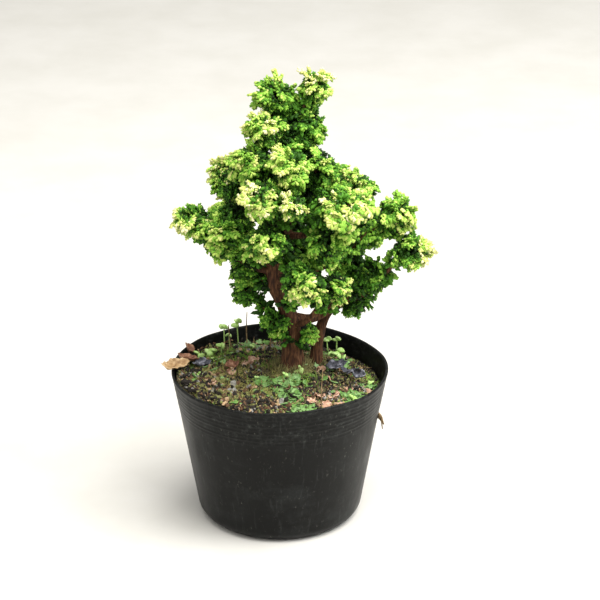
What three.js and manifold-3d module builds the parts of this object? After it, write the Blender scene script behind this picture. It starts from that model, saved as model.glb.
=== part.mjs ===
// A young hinoki cypress bonsai in a black plastic nursery pot.
// Units are millimetres and +Z is up. The origin is the middle of the pot's flat underside.
// The front of the plant faces -Y, and bearings turn from +X (0, right) to +Y (90, back).

import * as THREE from "three";
import { mergeVertices } from "three/addons/utils/BufferGeometryUtils.js";
import Module from "manifold-3d";

const wasm = await Module();
wasm.setup();

// Driving dimensions of the pot
const RIM_RADIUS = 45;
const POT_HEIGHT = 65;
const POT_FOOT_RADIUS = 33.8; // where the wall's straight line would meet the ground
const POT_CORNER_RADIUS = 6.3; // the rounding between wall and underside
const POT_WALL = 1;
const POT_SEGMENTS = 36;
const RIB_COUNT = 4; // raised rings below the rim
const RIB_PITCH = 3.6;
const RIB_TOP = 61;
const RIB_HEIGHT = 0.35;
const DRAIN_COUNT = 4;
const DRAIN_RADIUS = 3.5;
const DRAIN_RING = 17;

// Driving dimensions of the soil
const SOIL_LEVEL = 62; // under the feet of the stems
const SOIL_FLAT_RADIUS = 22; // where it begins to fall to the wall
const SOIL_EDGE = 59.5; // mean height of the soil along the wall
const SOIL_EDGE_SLOPE = 3.5; // it lies this much higher at the left, and lower at the back right
const SOIL_HIGH_BEARING = 215;
const SOIL_RINGS = 9; // rings of its top, from the wall to the middle
const MOUND_MIDDLE = new THREE.Vector2(7, 2); // of the soil heaped round the stems
const MOUND_RADIUS = 22;
const MOUND_HEIGHT = 2.6;
const LUMP_COUNT = 22; // lumps, spread over the soil by the golden angle
const LUMP_RING = 35; // how far from the middle the outermost lies
const LUMP_RADIUS = 7.5;
const LUMP_HEIGHTS = [2.6, 1.2, 2, 0.8]; // in turn
const LITTER_DEPTH = 0.8; // of the crumbs and moss that cover it
const LITTER_HEAPS = [
  { at: new THREE.Vector2(-37, 6), radius: 8, height: 2.6 }, // dry leaves at the left rim
  { at: new THREE.Vector2(-31, 18), radius: 7.5, height: 2.6 }, // seedlings at the back left
  { at: new THREE.Vector2(24, 16), radius: 7.5, height: 2.6 }, // seedlings at the back right
  { at: new THREE.Vector2(28, -2.5), radius: 8.5, height: 2 }, // a dark curled leaf
  { at: new THREE.Vector2(20, -25), radius: 9, height: 0.8 }, // chips at the front right
  { at: new THREE.Vector2(6, -32), radius: 9, height: 0.8 }, // liverwort at the front
];
const GOLDEN_ANGLE = Math.PI * (3 - Math.sqrt(5));

// Driving dimensions of the woody limbs
const CLEARANCE = 0.3; // between two solids that grow out of each other
const FOOT_LEVEL = SOIL_LEVEL + CLEARANCE;
const TRUNK_SIDES = 10;
const TRUNK_STEPS = 16;
const BOUGH_SIDES = 5;
const BOUGH_STEPS = 4;
const BOUGH_SAG = 0.1; // how far a bough's middle hangs under the straight line, as a share of its length
const BOUGH_RADIUS = 0.75; // of the shortest bough at its foot
const BOUGH_GAIN = 0.02; // what each millimetre of length adds to that
const BOUGH_TAPER = 0.5; // the share of its foot's radius that a bough loses
const BOUGH_END = 0.9; // where a bough ends, as a share of its mass's reach
const ROOT_RIDGE = 0.3; // how far the ridges of a root flare stand out, as a share of the flare
const TWIG_SIDES = 3;
const TWIG_STEPS = 3;
const TWIG_RADIUS = 0.9; // of a twig that leaves a stem without a bough
const TWIG_TAPER = 0.4; // the share of its foot's radius that a twig loses

// Driving dimensions of the foliage
const CORE_SHARE = 0.74; // a mass's dense core, as a share of its reach
const CORE_KNOBS = 0.2; // how much of that the core's hollows lose
const FAN_ROOT_SHARE = 0.36; // where a spray is rooted, as a share of its mass's reach
const FAN_AREA = 125; // square millimetres of a mass's surface for each spray
const FAN_WIDTH = 1.3; // of a spray's length
const FAN_THICKNESS = 0.5; // of a spray's length
const FAN_THICKEST = 0.55; // how far along a spray it is thickest
const FAN_JITTER = 0.35; // how far a spray strays from its even place, in radians

// The two woody stems that rise from the soil, each along a smooth line through these points
const STEMS = {
  trunk: {
    line: [
      [5.6, 0, FOOT_LEVEL],
      [5.4, 0, 75],
      [4.4, -1, 88],
      [-2, -1, 104],
      [-1.6, 0, 114],
      [3.4, 2, 127],
      [5.4, 2, 144],
      [6.2, 1, 160],
      [6, 1, 172],
    ],
    radius: 4,
    tip: 0.9,
    flare: 2.4, // what the root flare adds to the radius at the soil
    flareHeight: 6,
    roots: 5, // ridges round the flare
  },
  right_stem: {
    line: [
      [15.4, 6, FOOT_LEVEL],
      [15.8, 6, 72],
      [18.8, 6, 85],
      [25, 5, 94],
    ],
    radius: 2.5,
    tip: 1.6,
    flare: 1.2,
    flareHeight: 4,
    roots: 3,
  },
};

// The masses of foliage, by the stem that carries them and by whether each stands on a bough of its own.
// Each names the height where its bough or twig leaves the stem; then the bearing, the reach outwards and the
// rise to the mass's middle; then its half width and half height. A main bough is so many times as stout.
const FOLIAGE = [
  {
    stem: "trunk",
    onBoughs: false,
    masses: {
      top_right: { leaves: 171, bearing: 352, reach: 8.5, rise: 16.5, wide: 8.5, high: 9.5 },
      top_left: { leaves: 168, bearing: 163, reach: 7, rise: 13, wide: 10.5, high: 11.5 },
      upper_left: { leaves: 158, bearing: 213, reach: 13, rise: 13, wide: 10.5, high: 10.5 },
      upper_right: { leaves: 156, bearing: 347, reach: 5, rise: 13, wide: 11, high: 12.5 },
      back_upper: { leaves: 160, bearing: 102, reach: 12, rise: 10, wide: 10, high: 10 },
      back_top: { leaves: 150, bearing: 86, reach: 16, rise: 11, wide: 10.5, high: 11 },
      mid_left: { leaves: 145, bearing: 218, reach: 19, rise: 14, wide: 12.5, high: 11.5 },
      mid_front: { leaves: 146, bearing: 267, reach: 22, rise: 14, wide: 11.5, high: 12.5 },
      mid_right: { leaves: 144, bearing: 318, reach: 15, rise: 12, wide: 10, high: 10.5 },
      left_under: { leaves: 101, bearing: 166, reach: 13, rise: 8, wide: 9.5, high: 9.5 },
      back_left_low: { leaves: 88, bearing: 117, reach: 25, rise: 13, wide: 10.5, high: 10 },
      low_left: { leaves: 80, bearing: 173, reach: 19, rise: 18.5, wide: 8, high: 8 },
      low_centre: { leaves: 74, bearing: 215, reach: 9, rise: 13.5, wide: 8, high: 6.5 },
      sprig: { leaves: 75, bearing: 322, reach: 10, rise: 8, wide: 3.2, high: 7.5 },
    },
  },
  {
    stem: "trunk",
    onBoughs: true,
    masses: {
      left_shoulder: { leaves: 126, bearing: 180, reach: 23, rise: 22, wide: 10.5, high: 11.5 },
      right_shoulder: { leaves: 122, bearing: 7, reach: 31, rise: 20, wide: 10, high: 11 },
      back_left_high: { leaves: 132, bearing: 130, reach: 26, rise: 9, wide: 11.5, high: 11.5 },
      back_right_high: { leaves: 130, bearing: 53, reach: 25, rise: 9, wide: 11.5, high: 11.5 },
      front_left: { leaves: 131, bearing: 251, reach: 32, rise: 20, wide: 11, high: 9.5 },
      front_centre: { leaves: 126, bearing: 274, reach: 34, rise: 23, wide: 8.5, high: 7.5 },
      front_right: { leaves: 124, bearing: 314, reach: 33, rise: 20, wide: 13.5, high: 11.5 },
      left_tip: { leaves: 108, bearing: 182, reach: 32, rise: 23.5, wide: 12, high: 7.5 },
      left_mid: { leaves: 112, bearing: 200, reach: 23, rise: 15, wide: 12.5, high: 11.5 },
      left_front: { leaves: 116, bearing: 262, reach: 29, rise: 16, wide: 11.5, high: 8.5 },
      back_left: { leaves: 106, bearing: 124, reach: 31, rise: 15, wide: 12.5, high: 12 },
      back_mid: { leaves: 116, bearing: 80, reach: 32, rise: 9, wide: 13.5, high: 12.5 },
      back_right: { leaves: 110, bearing: 33, reach: 46, rise: 8, wide: 12.5, high: 12 },
      right_upper_tip: { leaves: 106, bearing: 1, reach: 50, rise: 26, wide: 10.5, high: 11 },
      centre_right: { leaves: 104, bearing: 318, reach: 29, rise: 23, wide: 10.5, high: 10.5 },
      low_front: { leaves: 95, bearing: 288, reach: 26, rise: 18.5, wide: 11.5, high: 10.5 },
      back_low: { leaves: 92, bearing: 80, reach: 34, rise: 12, wide: 12, high: 11.5 },
      right_front: { leaves: 84, bearing: 315, reach: 25, rise: 24.5, wide: 9.5, high: 9.5 },
      right_under: { leaves: 88, bearing: 15, reach: 27, rise: 4, wide: 8.5, high: 8, stout: 1.8 },
    },
  },
  {
    stem: "right_stem",
    onBoughs: false,
    masses: {
      right_low: { leaves: 90, bearing: 355, reach: 17, rise: 14, wide: 9.5, high: 10.5 },
      back_right_low: { leaves: 86, bearing: 64, reach: 22, rise: 14, wide: 11, high: 10.5 },
    },
  },
  {
    stem: "right_stem",
    onBoughs: true,
    masses: {
      right_tip: { leaves: 92, bearing: 343, reach: 32, rise: 27, wide: 11.5, high: 8.5 },
    },
  },
];

// The masses whose young growth is cream and gold
const GOLDEN = new Set([
  "top_right",
  "upper_left",
  "left_tip",
  "front_left",
  "front_centre",
  "front_right",
  "left_front",
  "low_front",
  "right_front",
  "right_tip",
]);

// Materials
const POT_BLACK = new THREE.MeshStandardMaterial({ color: 0x24261f, roughness: 0.45, metalness: 0 });
const SOIL_BROWN = new THREE.MeshStandardMaterial({ color: 0x3a3222, roughness: 0.95, metalness: 0 });
const BARK_BROWN = new THREE.MeshStandardMaterial({ color: 0x5a3420, roughness: 0.9, metalness: 0 });
const LEAF_GREEN = new THREE.MeshStandardMaterial({ color: 0x4f7f22, roughness: 0.6, metalness: 0 });
const LEAF_GOLD = new THREE.MeshStandardMaterial({ color: 0xb9c44e, roughness: 0.6, metalness: 0 });

const SAME_PLACE = 1e-4; // points nearer to each other than this are one
const radians = THREE.MathUtils.degToRad;
const smoothstep = THREE.MathUtils.smoothstep;

// A repeatable stream of numbers from 0 to 1.
function seededRandom(seed) {
  let state = seed >>> 0;
  return () => {
    state = (state + 0x6d2b79f5) >>> 0;
    let mixed = Math.imul(state ^ (state >>> 15), state | 1);
    mixed ^= mixed + Math.imul(mixed ^ (mixed >>> 7), mixed | 61);
    return ((mixed ^ (mixed >>> 14)) >>> 0) / 4294967296;
  };
}

// A geometry with nothing but the positions of its vertices.
function bareGeometry(geometry) {
  return geometry.clone().deleteAttribute("normal").deleteAttribute("uv");
}

// A closed three.js geometry as a solid that can be joined and cut.
function solidOf(geometry) {
  const merged = mergeVertices(bareGeometry(geometry), SAME_PLACE);
  return new wasm.Manifold(
    new wasm.Mesh({
      numProp: 3,
      vertProperties: merged.attributes.position.array,
      triVerts: new Uint32Array(merged.index.array),
    }),
  );
}

// A solid as a three.js geometry.
function geometryOf(solid) {
  const mesh = solid.getMesh();
  const geometry = new THREE.BufferGeometry();
  geometry.setAttribute("position", new THREE.BufferAttribute(mesh.vertProperties, 3));
  geometry.setIndex(new THREE.BufferAttribute(mesh.triVerts, 1));
  geometry.computeVertexNormals();
  return geometry;
}

// The largest connected body of a solid, so that no loose scrap is left by a cut.
function largestBody(solid) {
  const bodies = solid.decompose();
  return bodies.reduce((best, body) => (body.volume() > best.volume() ? body : best));
}

// Moves each vertex of a geometry to where place(vertex) says.
function reshape(geometry, place) {
  const position = geometry.attributes.position;
  const vertex = new THREE.Vector3();
  for (let i = 0; i < position.count; i++) {
    place(vertex.fromBufferAttribute(position, i));
    position.setXYZ(i, vertex.x, vertex.y, vertex.z);
  }
  return geometry;
}

// A profile of [radius, height] pairs turned round the Z axis.
function turned(profile, segments) {
  const points = profile.map(([radius, height]) => new THREE.Vector2(radius, height));
  return new THREE.LatheGeometry(points, segments).rotateX(Math.PI / 2);
}

// The radius of the pot's outside at a height on its straight wall.
function wallRadius(height) {
  return THREE.MathUtils.lerp(POT_FOOT_RADIUS, RIM_RADIUS, height / POT_HEIGHT);
}

// The rounding between the pot's underside and its wall, taken in by an inset.
function cornerArc(inset, steps) {
  const lean = Math.atan2(RIM_RADIUS - POT_FOOT_RADIUS, POT_HEIGHT);
  const centre = wallRadius(POT_CORNER_RADIUS) - POT_CORNER_RADIUS / Math.cos(lean);
  const radius = POT_CORNER_RADIUS - inset;
  const points = [];
  for (let i = 0; i <= steps; i++) {
    const angle = THREE.MathUtils.lerp(-Math.PI / 2, -lean, i / steps);
    points.push([centre + radius * Math.cos(angle), POT_CORNER_RADIUS + radius * Math.sin(angle)]);
  }
  return points;
}

// The raised rings under the rim, from the lowest up.
function ribs() {
  const points = [];
  for (let i = RIB_COUNT - 1; i >= 0; i--) {
    const crest = RIB_TOP - i * RIB_PITCH;
    points.push([wallRadius(crest - RIB_PITCH / 2), crest - RIB_PITCH / 2]);
    points.push([wallRadius(crest) + RIB_HEIGHT, crest]);
  }
  return points;
}

// The pot: a thin flared cup with a rounded foot, ribs under the rim and drain holes in its floor.
function makePot() {
  const inner = cornerArc(POT_WALL, 2).reverse();
  const profile = [
    [0, 0],
    ...cornerArc(0, 3),
    ...ribs(),
    [RIM_RADIUS, POT_HEIGHT],
    [RIM_RADIUS - POT_WALL, POT_HEIGHT],
    ...inner,
    [0, POT_WALL],
  ];
  let pot = solidOf(turned(profile, POT_SEGMENTS));
  for (let i = 0; i < DRAIN_COUNT; i++) {
    const bearing = (2 * Math.PI * (i + 0.5)) / DRAIN_COUNT;
    const hole = new THREE.CylinderGeometry(DRAIN_RADIUS, DRAIN_RADIUS, 4 * POT_WALL, 10);
    hole.rotateX(Math.PI / 2);
    hole.translate(DRAIN_RING * Math.cos(bearing), DRAIN_RING * Math.sin(bearing), 0);
    pot = pot.subtract(solidOf(hole));
  }
  return pot;
}

// The height of the soil's edge along the wall at a bearing in radians.
function soilEdge(bearing) {
  return SOIL_EDGE + SOIL_EDGE_SLOPE * Math.cos(bearing - radians(SOIL_HIGH_BEARING));
}

// How high a heap of a given height stands at a place: round on top, and level with the soil at its radius.
function heapRise(middle, radius, height, place) {
  const share = Math.min(1, Math.hypot(place.x - middle.x, place.y - middle.y) / radius);
  return height * (1 - share * share) ** 2;
}

// How far the mound round the stems, the lumps and the litter raise the soil at a place.
function soilRise(place) {
  let rise = LITTER_DEPTH + heapRise(MOUND_MIDDLE, MOUND_RADIUS, MOUND_HEIGHT, place);
  for (const { at, radius, height } of LITTER_HEAPS) rise += heapRise(at, radius, height, place);
  for (let i = 0; i < LUMP_COUNT; i++) {
    const out = LUMP_RING * Math.sqrt((i + 0.5) / LUMP_COUNT);
    const bearing = GOLDEN_ANGLE * i;
    const middle = new THREE.Vector2(out * Math.cos(bearing), out * Math.sin(bearing));
    rise += heapRise(middle, LUMP_RADIUS, LUMP_HEIGHTS[i % LUMP_HEIGHTS.length], place);
  }
  return rise;
}

// The pot's filling: heaped round the stems, lumpy, and falling to the wall.
function makeSoil() {
  const bottom = POT_WALL + CLEARANCE;
  const gap = POT_WALL + 2 * CLEARANCE;
  const foot = cornerArc(0, 1)[0][0] - gap;
  const edge = wallRadius(SOIL_EDGE) - gap;
  const profile = [
    [0, bottom],
    [foot, bottom],
    [wallRadius(POT_CORNER_RADIUS) - gap, POT_CORNER_RADIUS],
  ];
  for (let i = 0; i <= SOIL_RINGS; i++) profile.push([edge * (1 - i / SOIL_RINGS), SOIL_LEVEL]);
  const geometry = reshape(turned(profile, POT_SEGMENTS), (vertex) => {
    if (vertex.z < SOIL_LEVEL - SAME_PLACE) return;
    const radius = Math.hypot(vertex.x, vertex.y);
    const low = soilEdge(Math.atan2(vertex.y, vertex.x));
    const share = smoothstep(radius, SOIL_FLAT_RADIUS, edge);
    vertex.z = THREE.MathUtils.lerp(SOIL_LEVEL, low, share) + soilRise(vertex);
    if (share === 0) return;
    const fitted = THREE.MathUtils.lerp(radius, wallRadius(low) - gap, share);
    vertex.x *= fitted / radius;
    vertex.y *= fitted / radius;
  });
  return solidOf(geometry);
}

// A woody limb: its line, and its radius at a share of the way along it and an angle round it.
class Limb {
  constructor(points, radiusAt, sides, steps, flatFoot = false) {
    this.curve = new THREE.CatmullRomCurve3(points);
    this.radiusAt = radiusAt;
    this.sides = sides;
    this.steps = steps;
    this.flatFoot = flatFoot;
    this.frames = this.curve.computeFrenetFrames(steps, false);
  }

  // The limb as a cylinder whose rings are carried to its line. Grown, it is that much thicker and longer.
  solid(grow = 0) {
    const { steps, frames } = this;
    const tube = new THREE.CylinderGeometry(1, 1, 1, this.sides, steps);
    reshape(tube, (vertex) => {
      const ring = Math.round((vertex.y + 0.5) * steps);
      const outward = frames.binormals[ring].clone().multiplyScalar(vertex.x);
      outward.addScaledVector(frames.normals[ring], vertex.z);
      const angle = Math.atan2(vertex.z, vertex.x);
      const end = ring === 0 ? -1 : Number(ring === steps);
      vertex.copy(this.curve.getPointAt(ring / steps));
      vertex.addScaledVector(outward, this.radiusAt(ring / steps, angle) + grow);
      vertex.addScaledVector(frames.tangents[ring], end * grow);
      if (this.flatFoot && ring === 0) vertex.z = FOOT_LEVEL - grow;
    });
    return solidOf(tube);
  }

  // The limb with the clearance that its neighbours keep from it.
  grownSolid() {
    this.grown ??= this.solid(CLEARANCE);
    return this.grown;
  }

  // The point on the limb's line at a height.
  pointAtHeight(height) {
    let low = 0;
    let high = 1;
    for (let i = 0; i < 30; i++) {
      const middle = (low + high) / 2;
      if (this.curve.getPointAt(middle).z < height) low = middle;
      else high = middle;
    }
    return this.curve.getPointAt(low);
  }

  // True if a point lies within a margin of the limb.
  touches(point, margin) {
    const count = 4 * this.steps;
    this.samples ??= this.curve.getSpacedPoints(count);
    return this.samples.some((near, i) => near.distanceTo(point) < this.radiusAt(i / count, 0) + margin);
  }
}

// A stem that rises from the soil with a root flare.
function makeStem({ line, radius, tip, flare, flareHeight, roots }) {
  const points = line.map((point) => new THREE.Vector3(...point));
  const height = points.at(-1).z - FOOT_LEVEL;
  const radiusAt = (share, angle) => {
    const flared = flare * Math.exp((-share * height) / flareHeight);
    const ridged = 1 + ROOT_RIDGE * Math.cos(roots * angle);
    return THREE.MathUtils.lerp(radius, tip, share) + flared * ridged;
  };
  return new Limb(points, radiusAt, TRUNK_SIDES, TRUNK_STEPS, true);
}

// The space that one mass keeps to: an ellipsoid, cut by flat walls where a neighbour's space begins.
class Space {
  constructor(centre, wide, high, growth) {
    this.centre = centre;
    this.radii = new THREE.Vector3(wide, wide, high);
    this.growth = growth; // the direction in which the mass grows away from its stem
    this.walls = [];
  }

  // How far the bare ellipsoid reaches in a direction.
  ellipsoidReach(direction) {
    return 1 / direction.clone().divide(this.radii).length();
  }

  // How far the space reaches in a direction, walls included.
  reach(direction) {
    let reach = this.ellipsoidReach(direction);
    for (const { normal, distance } of this.walls) {
      const slope = normal.dot(direction);
      if (slope > 0) reach = Math.min(reach, distance / slope);
    }
    return reach;
  }

  // True if a point lies in the space or no further outside than an allowance.
  holds(point, allowance) {
    const way = point.clone().sub(this.centre);
    const length = way.length();
    return length <= this.reach(way.divideScalar(length)) + allowance;
  }

  // Puts up the wall between this space and another, where the two are equally near.
  partFrom(other) {
    const normal = other.centre.clone().sub(this.centre);
    const apart = normal.length();
    normal.divideScalar(apart);
    const mine = this.ellipsoidReach(normal);
    const theirs = other.ellipsoidReach(normal);
    const distance = (apart * apart + mine * mine - theirs * theirs) / (2 * apart) - CLEARANCE / 2;
    this.walls.push({ normal, distance });
  }

  // Keeps the space above a level.
  stayAbove(level) {
    this.walls.push({ normal: new THREE.Vector3(0, 0, -1), distance: this.centre.z - level });
  }
}

// A mass's dense core: a knobby ball that reaches a share of the way to the walls of its space.
function makeCore(space, random) {
  const ball = mergeVertices(bareGeometry(new THREE.OctahedronGeometry(1, 1)));
  return solidOf(
    reshape(ball, (vertex) => {
      const share = CORE_SHARE * (1 - CORE_KNOBS * random());
      const reach = space.reach(vertex.normalize());
      vertex.multiplyScalar(share * reach).add(space.centre);
    }),
  );
}

// The outline of one spray in shares of its length and width: the root, then three teeth and their notches.
const FAN_OUTLINE = [
  [0, 0],
  [0.74, 0.5],
  [0.78, 0.22],
  [1, 0],
  [0.78, -0.22],
  [0.74, -0.5],
];

// One spray: a double-sided fan whose six edge points follow the outline, thickest in the middle.
function makeFan(root, tip, side, width, thickness) {
  const along = tip.clone().sub(root);
  const across = side.clone().multiplyScalar(width);
  const up = along.clone().normalize().cross(side).multiplyScalar(thickness / 2);
  const fan = new THREE.SphereGeometry(1, FAN_OUTLINE.length, 2);
  return reshape(fan, (vertex) => {
    const pole = Math.round(vertex.y);
    const turn = Math.atan2(vertex.z, -vertex.x) / (2 * Math.PI);
    const corner = Math.round(turn * FAN_OUTLINE.length + FAN_OUTLINE.length) % FAN_OUTLINE.length;
    const [length, offset] = pole ? [FAN_THICKEST, 0] : FAN_OUTLINE[corner];
    vertex.copy(root).addScaledVector(along, length);
    vertex.addScaledVector(across, offset).addScaledVector(up, -pole);
  });
}

// The sprays of one mass, spread evenly round its direction of growth by the golden angle. A spray that would
// leave the mass's space or touch a limb is left out.
function makeFans(space, limbs, random) {
  const { x, z } = space.radii;
  const count = Math.round((4 * Math.PI * ((2 * x + z) / 3) ** 2) / FAN_AREA);
  const fans = [];
  for (let i = 0; i < count; i++) {
    const height = 1 - (2 * i) / (count - 1);
    const ring = Math.sqrt(1 - height * height);
    const bearing = GOLDEN_ANGLE * i + FAN_JITTER * (random() - 0.5);
    const direction = new THREE.Vector3(ring * Math.cos(bearing), ring * Math.sin(bearing), height);
    const level = new THREE.Vector3(-Math.sin(bearing), Math.cos(bearing), 0);
    const turn = new THREE.Quaternion().setFromUnitVectors(new THREE.Vector3(0, 0, 1), space.growth);
    direction.applyQuaternion(turn);
    const side = level.applyQuaternion(turn).applyAxisAngle(direction, Math.PI * random());
    const reach = space.reach(direction);
    const root = space.centre.clone().addScaledVector(direction, FAN_ROOT_SHARE * reach);
    const tip = space.centre.clone().addScaledVector(direction, reach);
    const length = root.distanceTo(tip);
    const fan = makeFan(root, tip, side, FAN_WIDTH * length, FAN_THICKNESS * length);
    const corners = [];
    reshape(fan, (vertex) => corners.push(vertex.clone()));
    const inside = corners.every((corner) => space.holds(corner, CLEARANCE / 10));
    const blocked = corners.some((corner) => limbs.some((limb) => limb.touches(corner, 2 * CLEARANCE)));
    if (inside && !blocked) fans.push(solidOf(fan));
  }
  return fans;
}

// A bough from its stem to the edge of its mass's space, as one tapering limb that bends upwards.
function makeBough(start, space, stout = 1) {
  const way = space.centre.clone().sub(start);
  const length = way.length();
  const edge = space.ellipsoidReach(way.clone().divideScalar(-length));
  const end = space.centre.clone().addScaledVector(way, (-BOUGH_END * edge) / length);
  const middle = start.clone().lerp(end, 0.5);
  middle.z -= BOUGH_SAG * length;
  const base = stout * (BOUGH_RADIUS + BOUGH_GAIN * length);
  const radiusAt = (share) => base * (1 - BOUGH_TAPER * share);
  return new Limb([start, middle, end], radiusAt, BOUGH_SIDES, BOUGH_STEPS);
}

// The twig that carries a mass, from its bough's tip or its stem to the mass's middle.
function makeTwig(start, space, thick) {
  const radiusAt = (share) => thick * (1 - TWIG_TAPER * share);
  return new Limb([start, space.centre], radiusAt, TWIG_SIDES, TWIG_STEPS);
}

// What every mass of the plant grows from: its own space, its twig, and its bough if it has one.
function planMasses(stems) {
  const plans = FOLIAGE.flatMap(({ stem, onBoughs, masses }) =>
    Object.entries(masses).map(([name, { leaves, bearing, reach, rise, wide, high, stout }]) => {
      const start = stems[stem].pointAtHeight(leaves);
      const way = new THREE.Vector3(Math.cos(radians(bearing)), Math.sin(radians(bearing)), rise / reach);
      const space = new Space(start.clone().addScaledVector(way, reach), wide, high, way.normalize());
      const bough = onBoughs ? makeBough(start, space, stout) : null;
      const twigStart = bough ? bough.curve.getPointAt(1) : start;
      const twig = makeTwig(twigStart, space, bough ? bough.radiusAt(1) : TWIG_RADIUS);
      return { name, space, bough, twig };
    }),
  );
  for (const plan of plans) {
    plan.space.stayAbove(SOIL_LEVEL + 4 * CLEARANCE);
    plans.filter((other) => other !== plan).forEach((other) => plan.space.partFrom(other.space));
  }
  return plans;
}

// Cuts a solid clear of limbs that pass through or near it.
function clearOf(solid, limbs) {
  return limbs.reduce((left, limb) => left.subtract(limb.grownSolid()), solid);
}

function addMesh(group, name, solid, material) {
  const mesh = new THREE.Mesh(geometryOf(solid), material.clone());
  mesh.name = name;
  group.add(mesh);
}

function makePlant() {
  const plant = new THREE.Group();
  plant.name = "hinoki_cypress_bonsai";
  const stems = Object.fromEntries(Object.entries(STEMS).map(([name, stem]) => [name, makeStem(stem)]));
  addMesh(plant, "pot", makePot(), POT_BLACK);
  addMesh(plant, "soil", clearOf(makeSoil(), Object.values(stems)), SOIL_BROWN);

  const woody = [];
  for (const [name, stem] of Object.entries(stems)) {
    addMesh(plant, name, stem.solid(), BARK_BROWN);
    woody.push(stem);
  }

  const plans = planMasses(stems);
  for (const { name, bough } of plans.filter((plan) => plan.bough)) {
    addMesh(plant, `bough_${name}`, largestBody(clearOf(bough.solid(), woody)), BARK_BROWN);
    woody.push(bough);
  }

  const twigs = plans.map((plan) => plan.twig);
  plans.forEach(({ name, space, twig }, index) => {
    const others = [...woody, ...twigs.filter((other) => other !== twig)];
    const limbs = others.filter((limb) => limb.touches(space.centre, Math.max(...space.radii)));
    const random = seededRandom(index + 1);
    const pieces = [makeCore(space, random), ...makeFans(space, limbs, random)];
    const grown = pieces.reduce((mass, piece) => mass.add(piece), twig.solid());
    const leaf = GOLDEN.has(name) ? LEAF_GOLD : LEAF_GREEN;
    addMesh(plant, `foliage_${name}`, largestBody(clearOf(grown, others)), leaf);
  });
  return plant;
}

export default makePlant();
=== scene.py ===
"""The looks of the potted hinoki cypress bonsai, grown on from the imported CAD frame.

Lengths are in millimetres until a piece is made. +Z is up, the front faces -Y, and bearings turn from
+X (0, right) to +Y (90, back), as in the CAD source.
"""

import itertools
import math

import bpy
import numpy as np
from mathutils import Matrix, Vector, noise


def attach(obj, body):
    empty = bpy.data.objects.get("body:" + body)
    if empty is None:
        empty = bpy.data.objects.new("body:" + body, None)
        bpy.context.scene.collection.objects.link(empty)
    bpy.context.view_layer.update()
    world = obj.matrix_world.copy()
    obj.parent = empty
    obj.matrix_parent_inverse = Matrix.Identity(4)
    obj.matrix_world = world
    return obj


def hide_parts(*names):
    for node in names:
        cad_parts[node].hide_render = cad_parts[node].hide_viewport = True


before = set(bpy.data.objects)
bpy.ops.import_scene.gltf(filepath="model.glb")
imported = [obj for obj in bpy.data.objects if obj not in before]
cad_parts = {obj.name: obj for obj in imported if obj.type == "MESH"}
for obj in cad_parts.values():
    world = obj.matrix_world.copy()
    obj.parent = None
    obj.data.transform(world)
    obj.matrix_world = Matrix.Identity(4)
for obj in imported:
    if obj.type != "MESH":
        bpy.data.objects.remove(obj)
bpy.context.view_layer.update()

MM = 0.001
UP = np.array([0.0, 0.0, 1.0])
RIGHT = np.array([1.0, 0.0, 0.0])
GOLDEN_ANGLE = math.pi * (3 - math.sqrt(5))
NOISE_STEPS = (17.3, 5.1, 9.7)  # how far apart in space the noises of two seeds lie
LITTER_DICE = np.random.default_rng(3)
LEAF_DICE = np.random.default_rng(15)

# Pot: its plain shape is the CAD source's
RIM_RADIUS = 45
POT_HEIGHT = 65
POT_FOOT_RADIUS = 33.8
POT_CORNER_RADIUS = 6.3
POT_WALL = 1
DRAIN_COUNT = 4
DRAIN_RADIUS = 3.5
DRAIN_RING = 17
POT_SEGMENTS = 144
RIB_PITCH = 1.75
RIB_TOP = 61.8
RIB_HEIGHTS = (0.05, 0.11, 0.04, 0.12, 0.07, 0.13, 0.06, 0.11)  # from the lowest up
WALL_FOOT = POT_CORNER_RADIUS + 2
WALL_TOPS = (63.2, 62.5)  # outside and inside
UNDERSIDE_RINGS = (2, 12, 18, 24)
FLOOR_RINGS = (20, 10, 2)
# The rim's radius and height, from the outside over its top
LIP = [(45.0, 64.1), (45.12, 64.6), (44.95, 65.0), (44.5, 65.12), (44.05, 64.95), (43.85, 64.4)]
# Waves round the soft rim, outwards and upwards: size, count and phase
RIM_SLACK = [(0.3, 2, 0.6), (0.22, 3, 2), (0.1, 7, 0)]
RIM_WAVE = [(0.35, 2, 4.4), (0.25, 5, 1), (0.1, 11, 0)]
NO_COLOUR = (0, 0, 0)
POT_SPECKS = [
    (0, (0.0020, 0.0024, 0.0023)),
    (0.62, (0.0040, 0.0042, 0.0038)),
    (0.7, (0.022, 0.022, 0.019)),
    (0.8, (0.14, 0.138, 0.12)),
]
POT_FILM = [(0.5, NO_COLOUR), (0.75, (0.0125, 0.0138, 0.0138))]
# Upright scuff marks: partly real scuffing, partly painted streaks of reflection.
POT_SCUFFS_AND_REFLECTIONS = [(0.58, NO_COLOUR), (0.78, (0.0155, 0.0168, 0.0162))]
RIB_DUST = [(0.5, NO_COLOUR), (0.6, (0.010, 0.011, 0.0105)), (0.74, (0.06, 0.062, 0.056))]
RIB_DUST_HEIGHTS = (44, 56)  # from where to where the dust sets in
POT_DULLNESS = [(0.3, (0.3, 0.3, 0.3)), (0.7, (0.52, 0.52, 0.52))]

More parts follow.
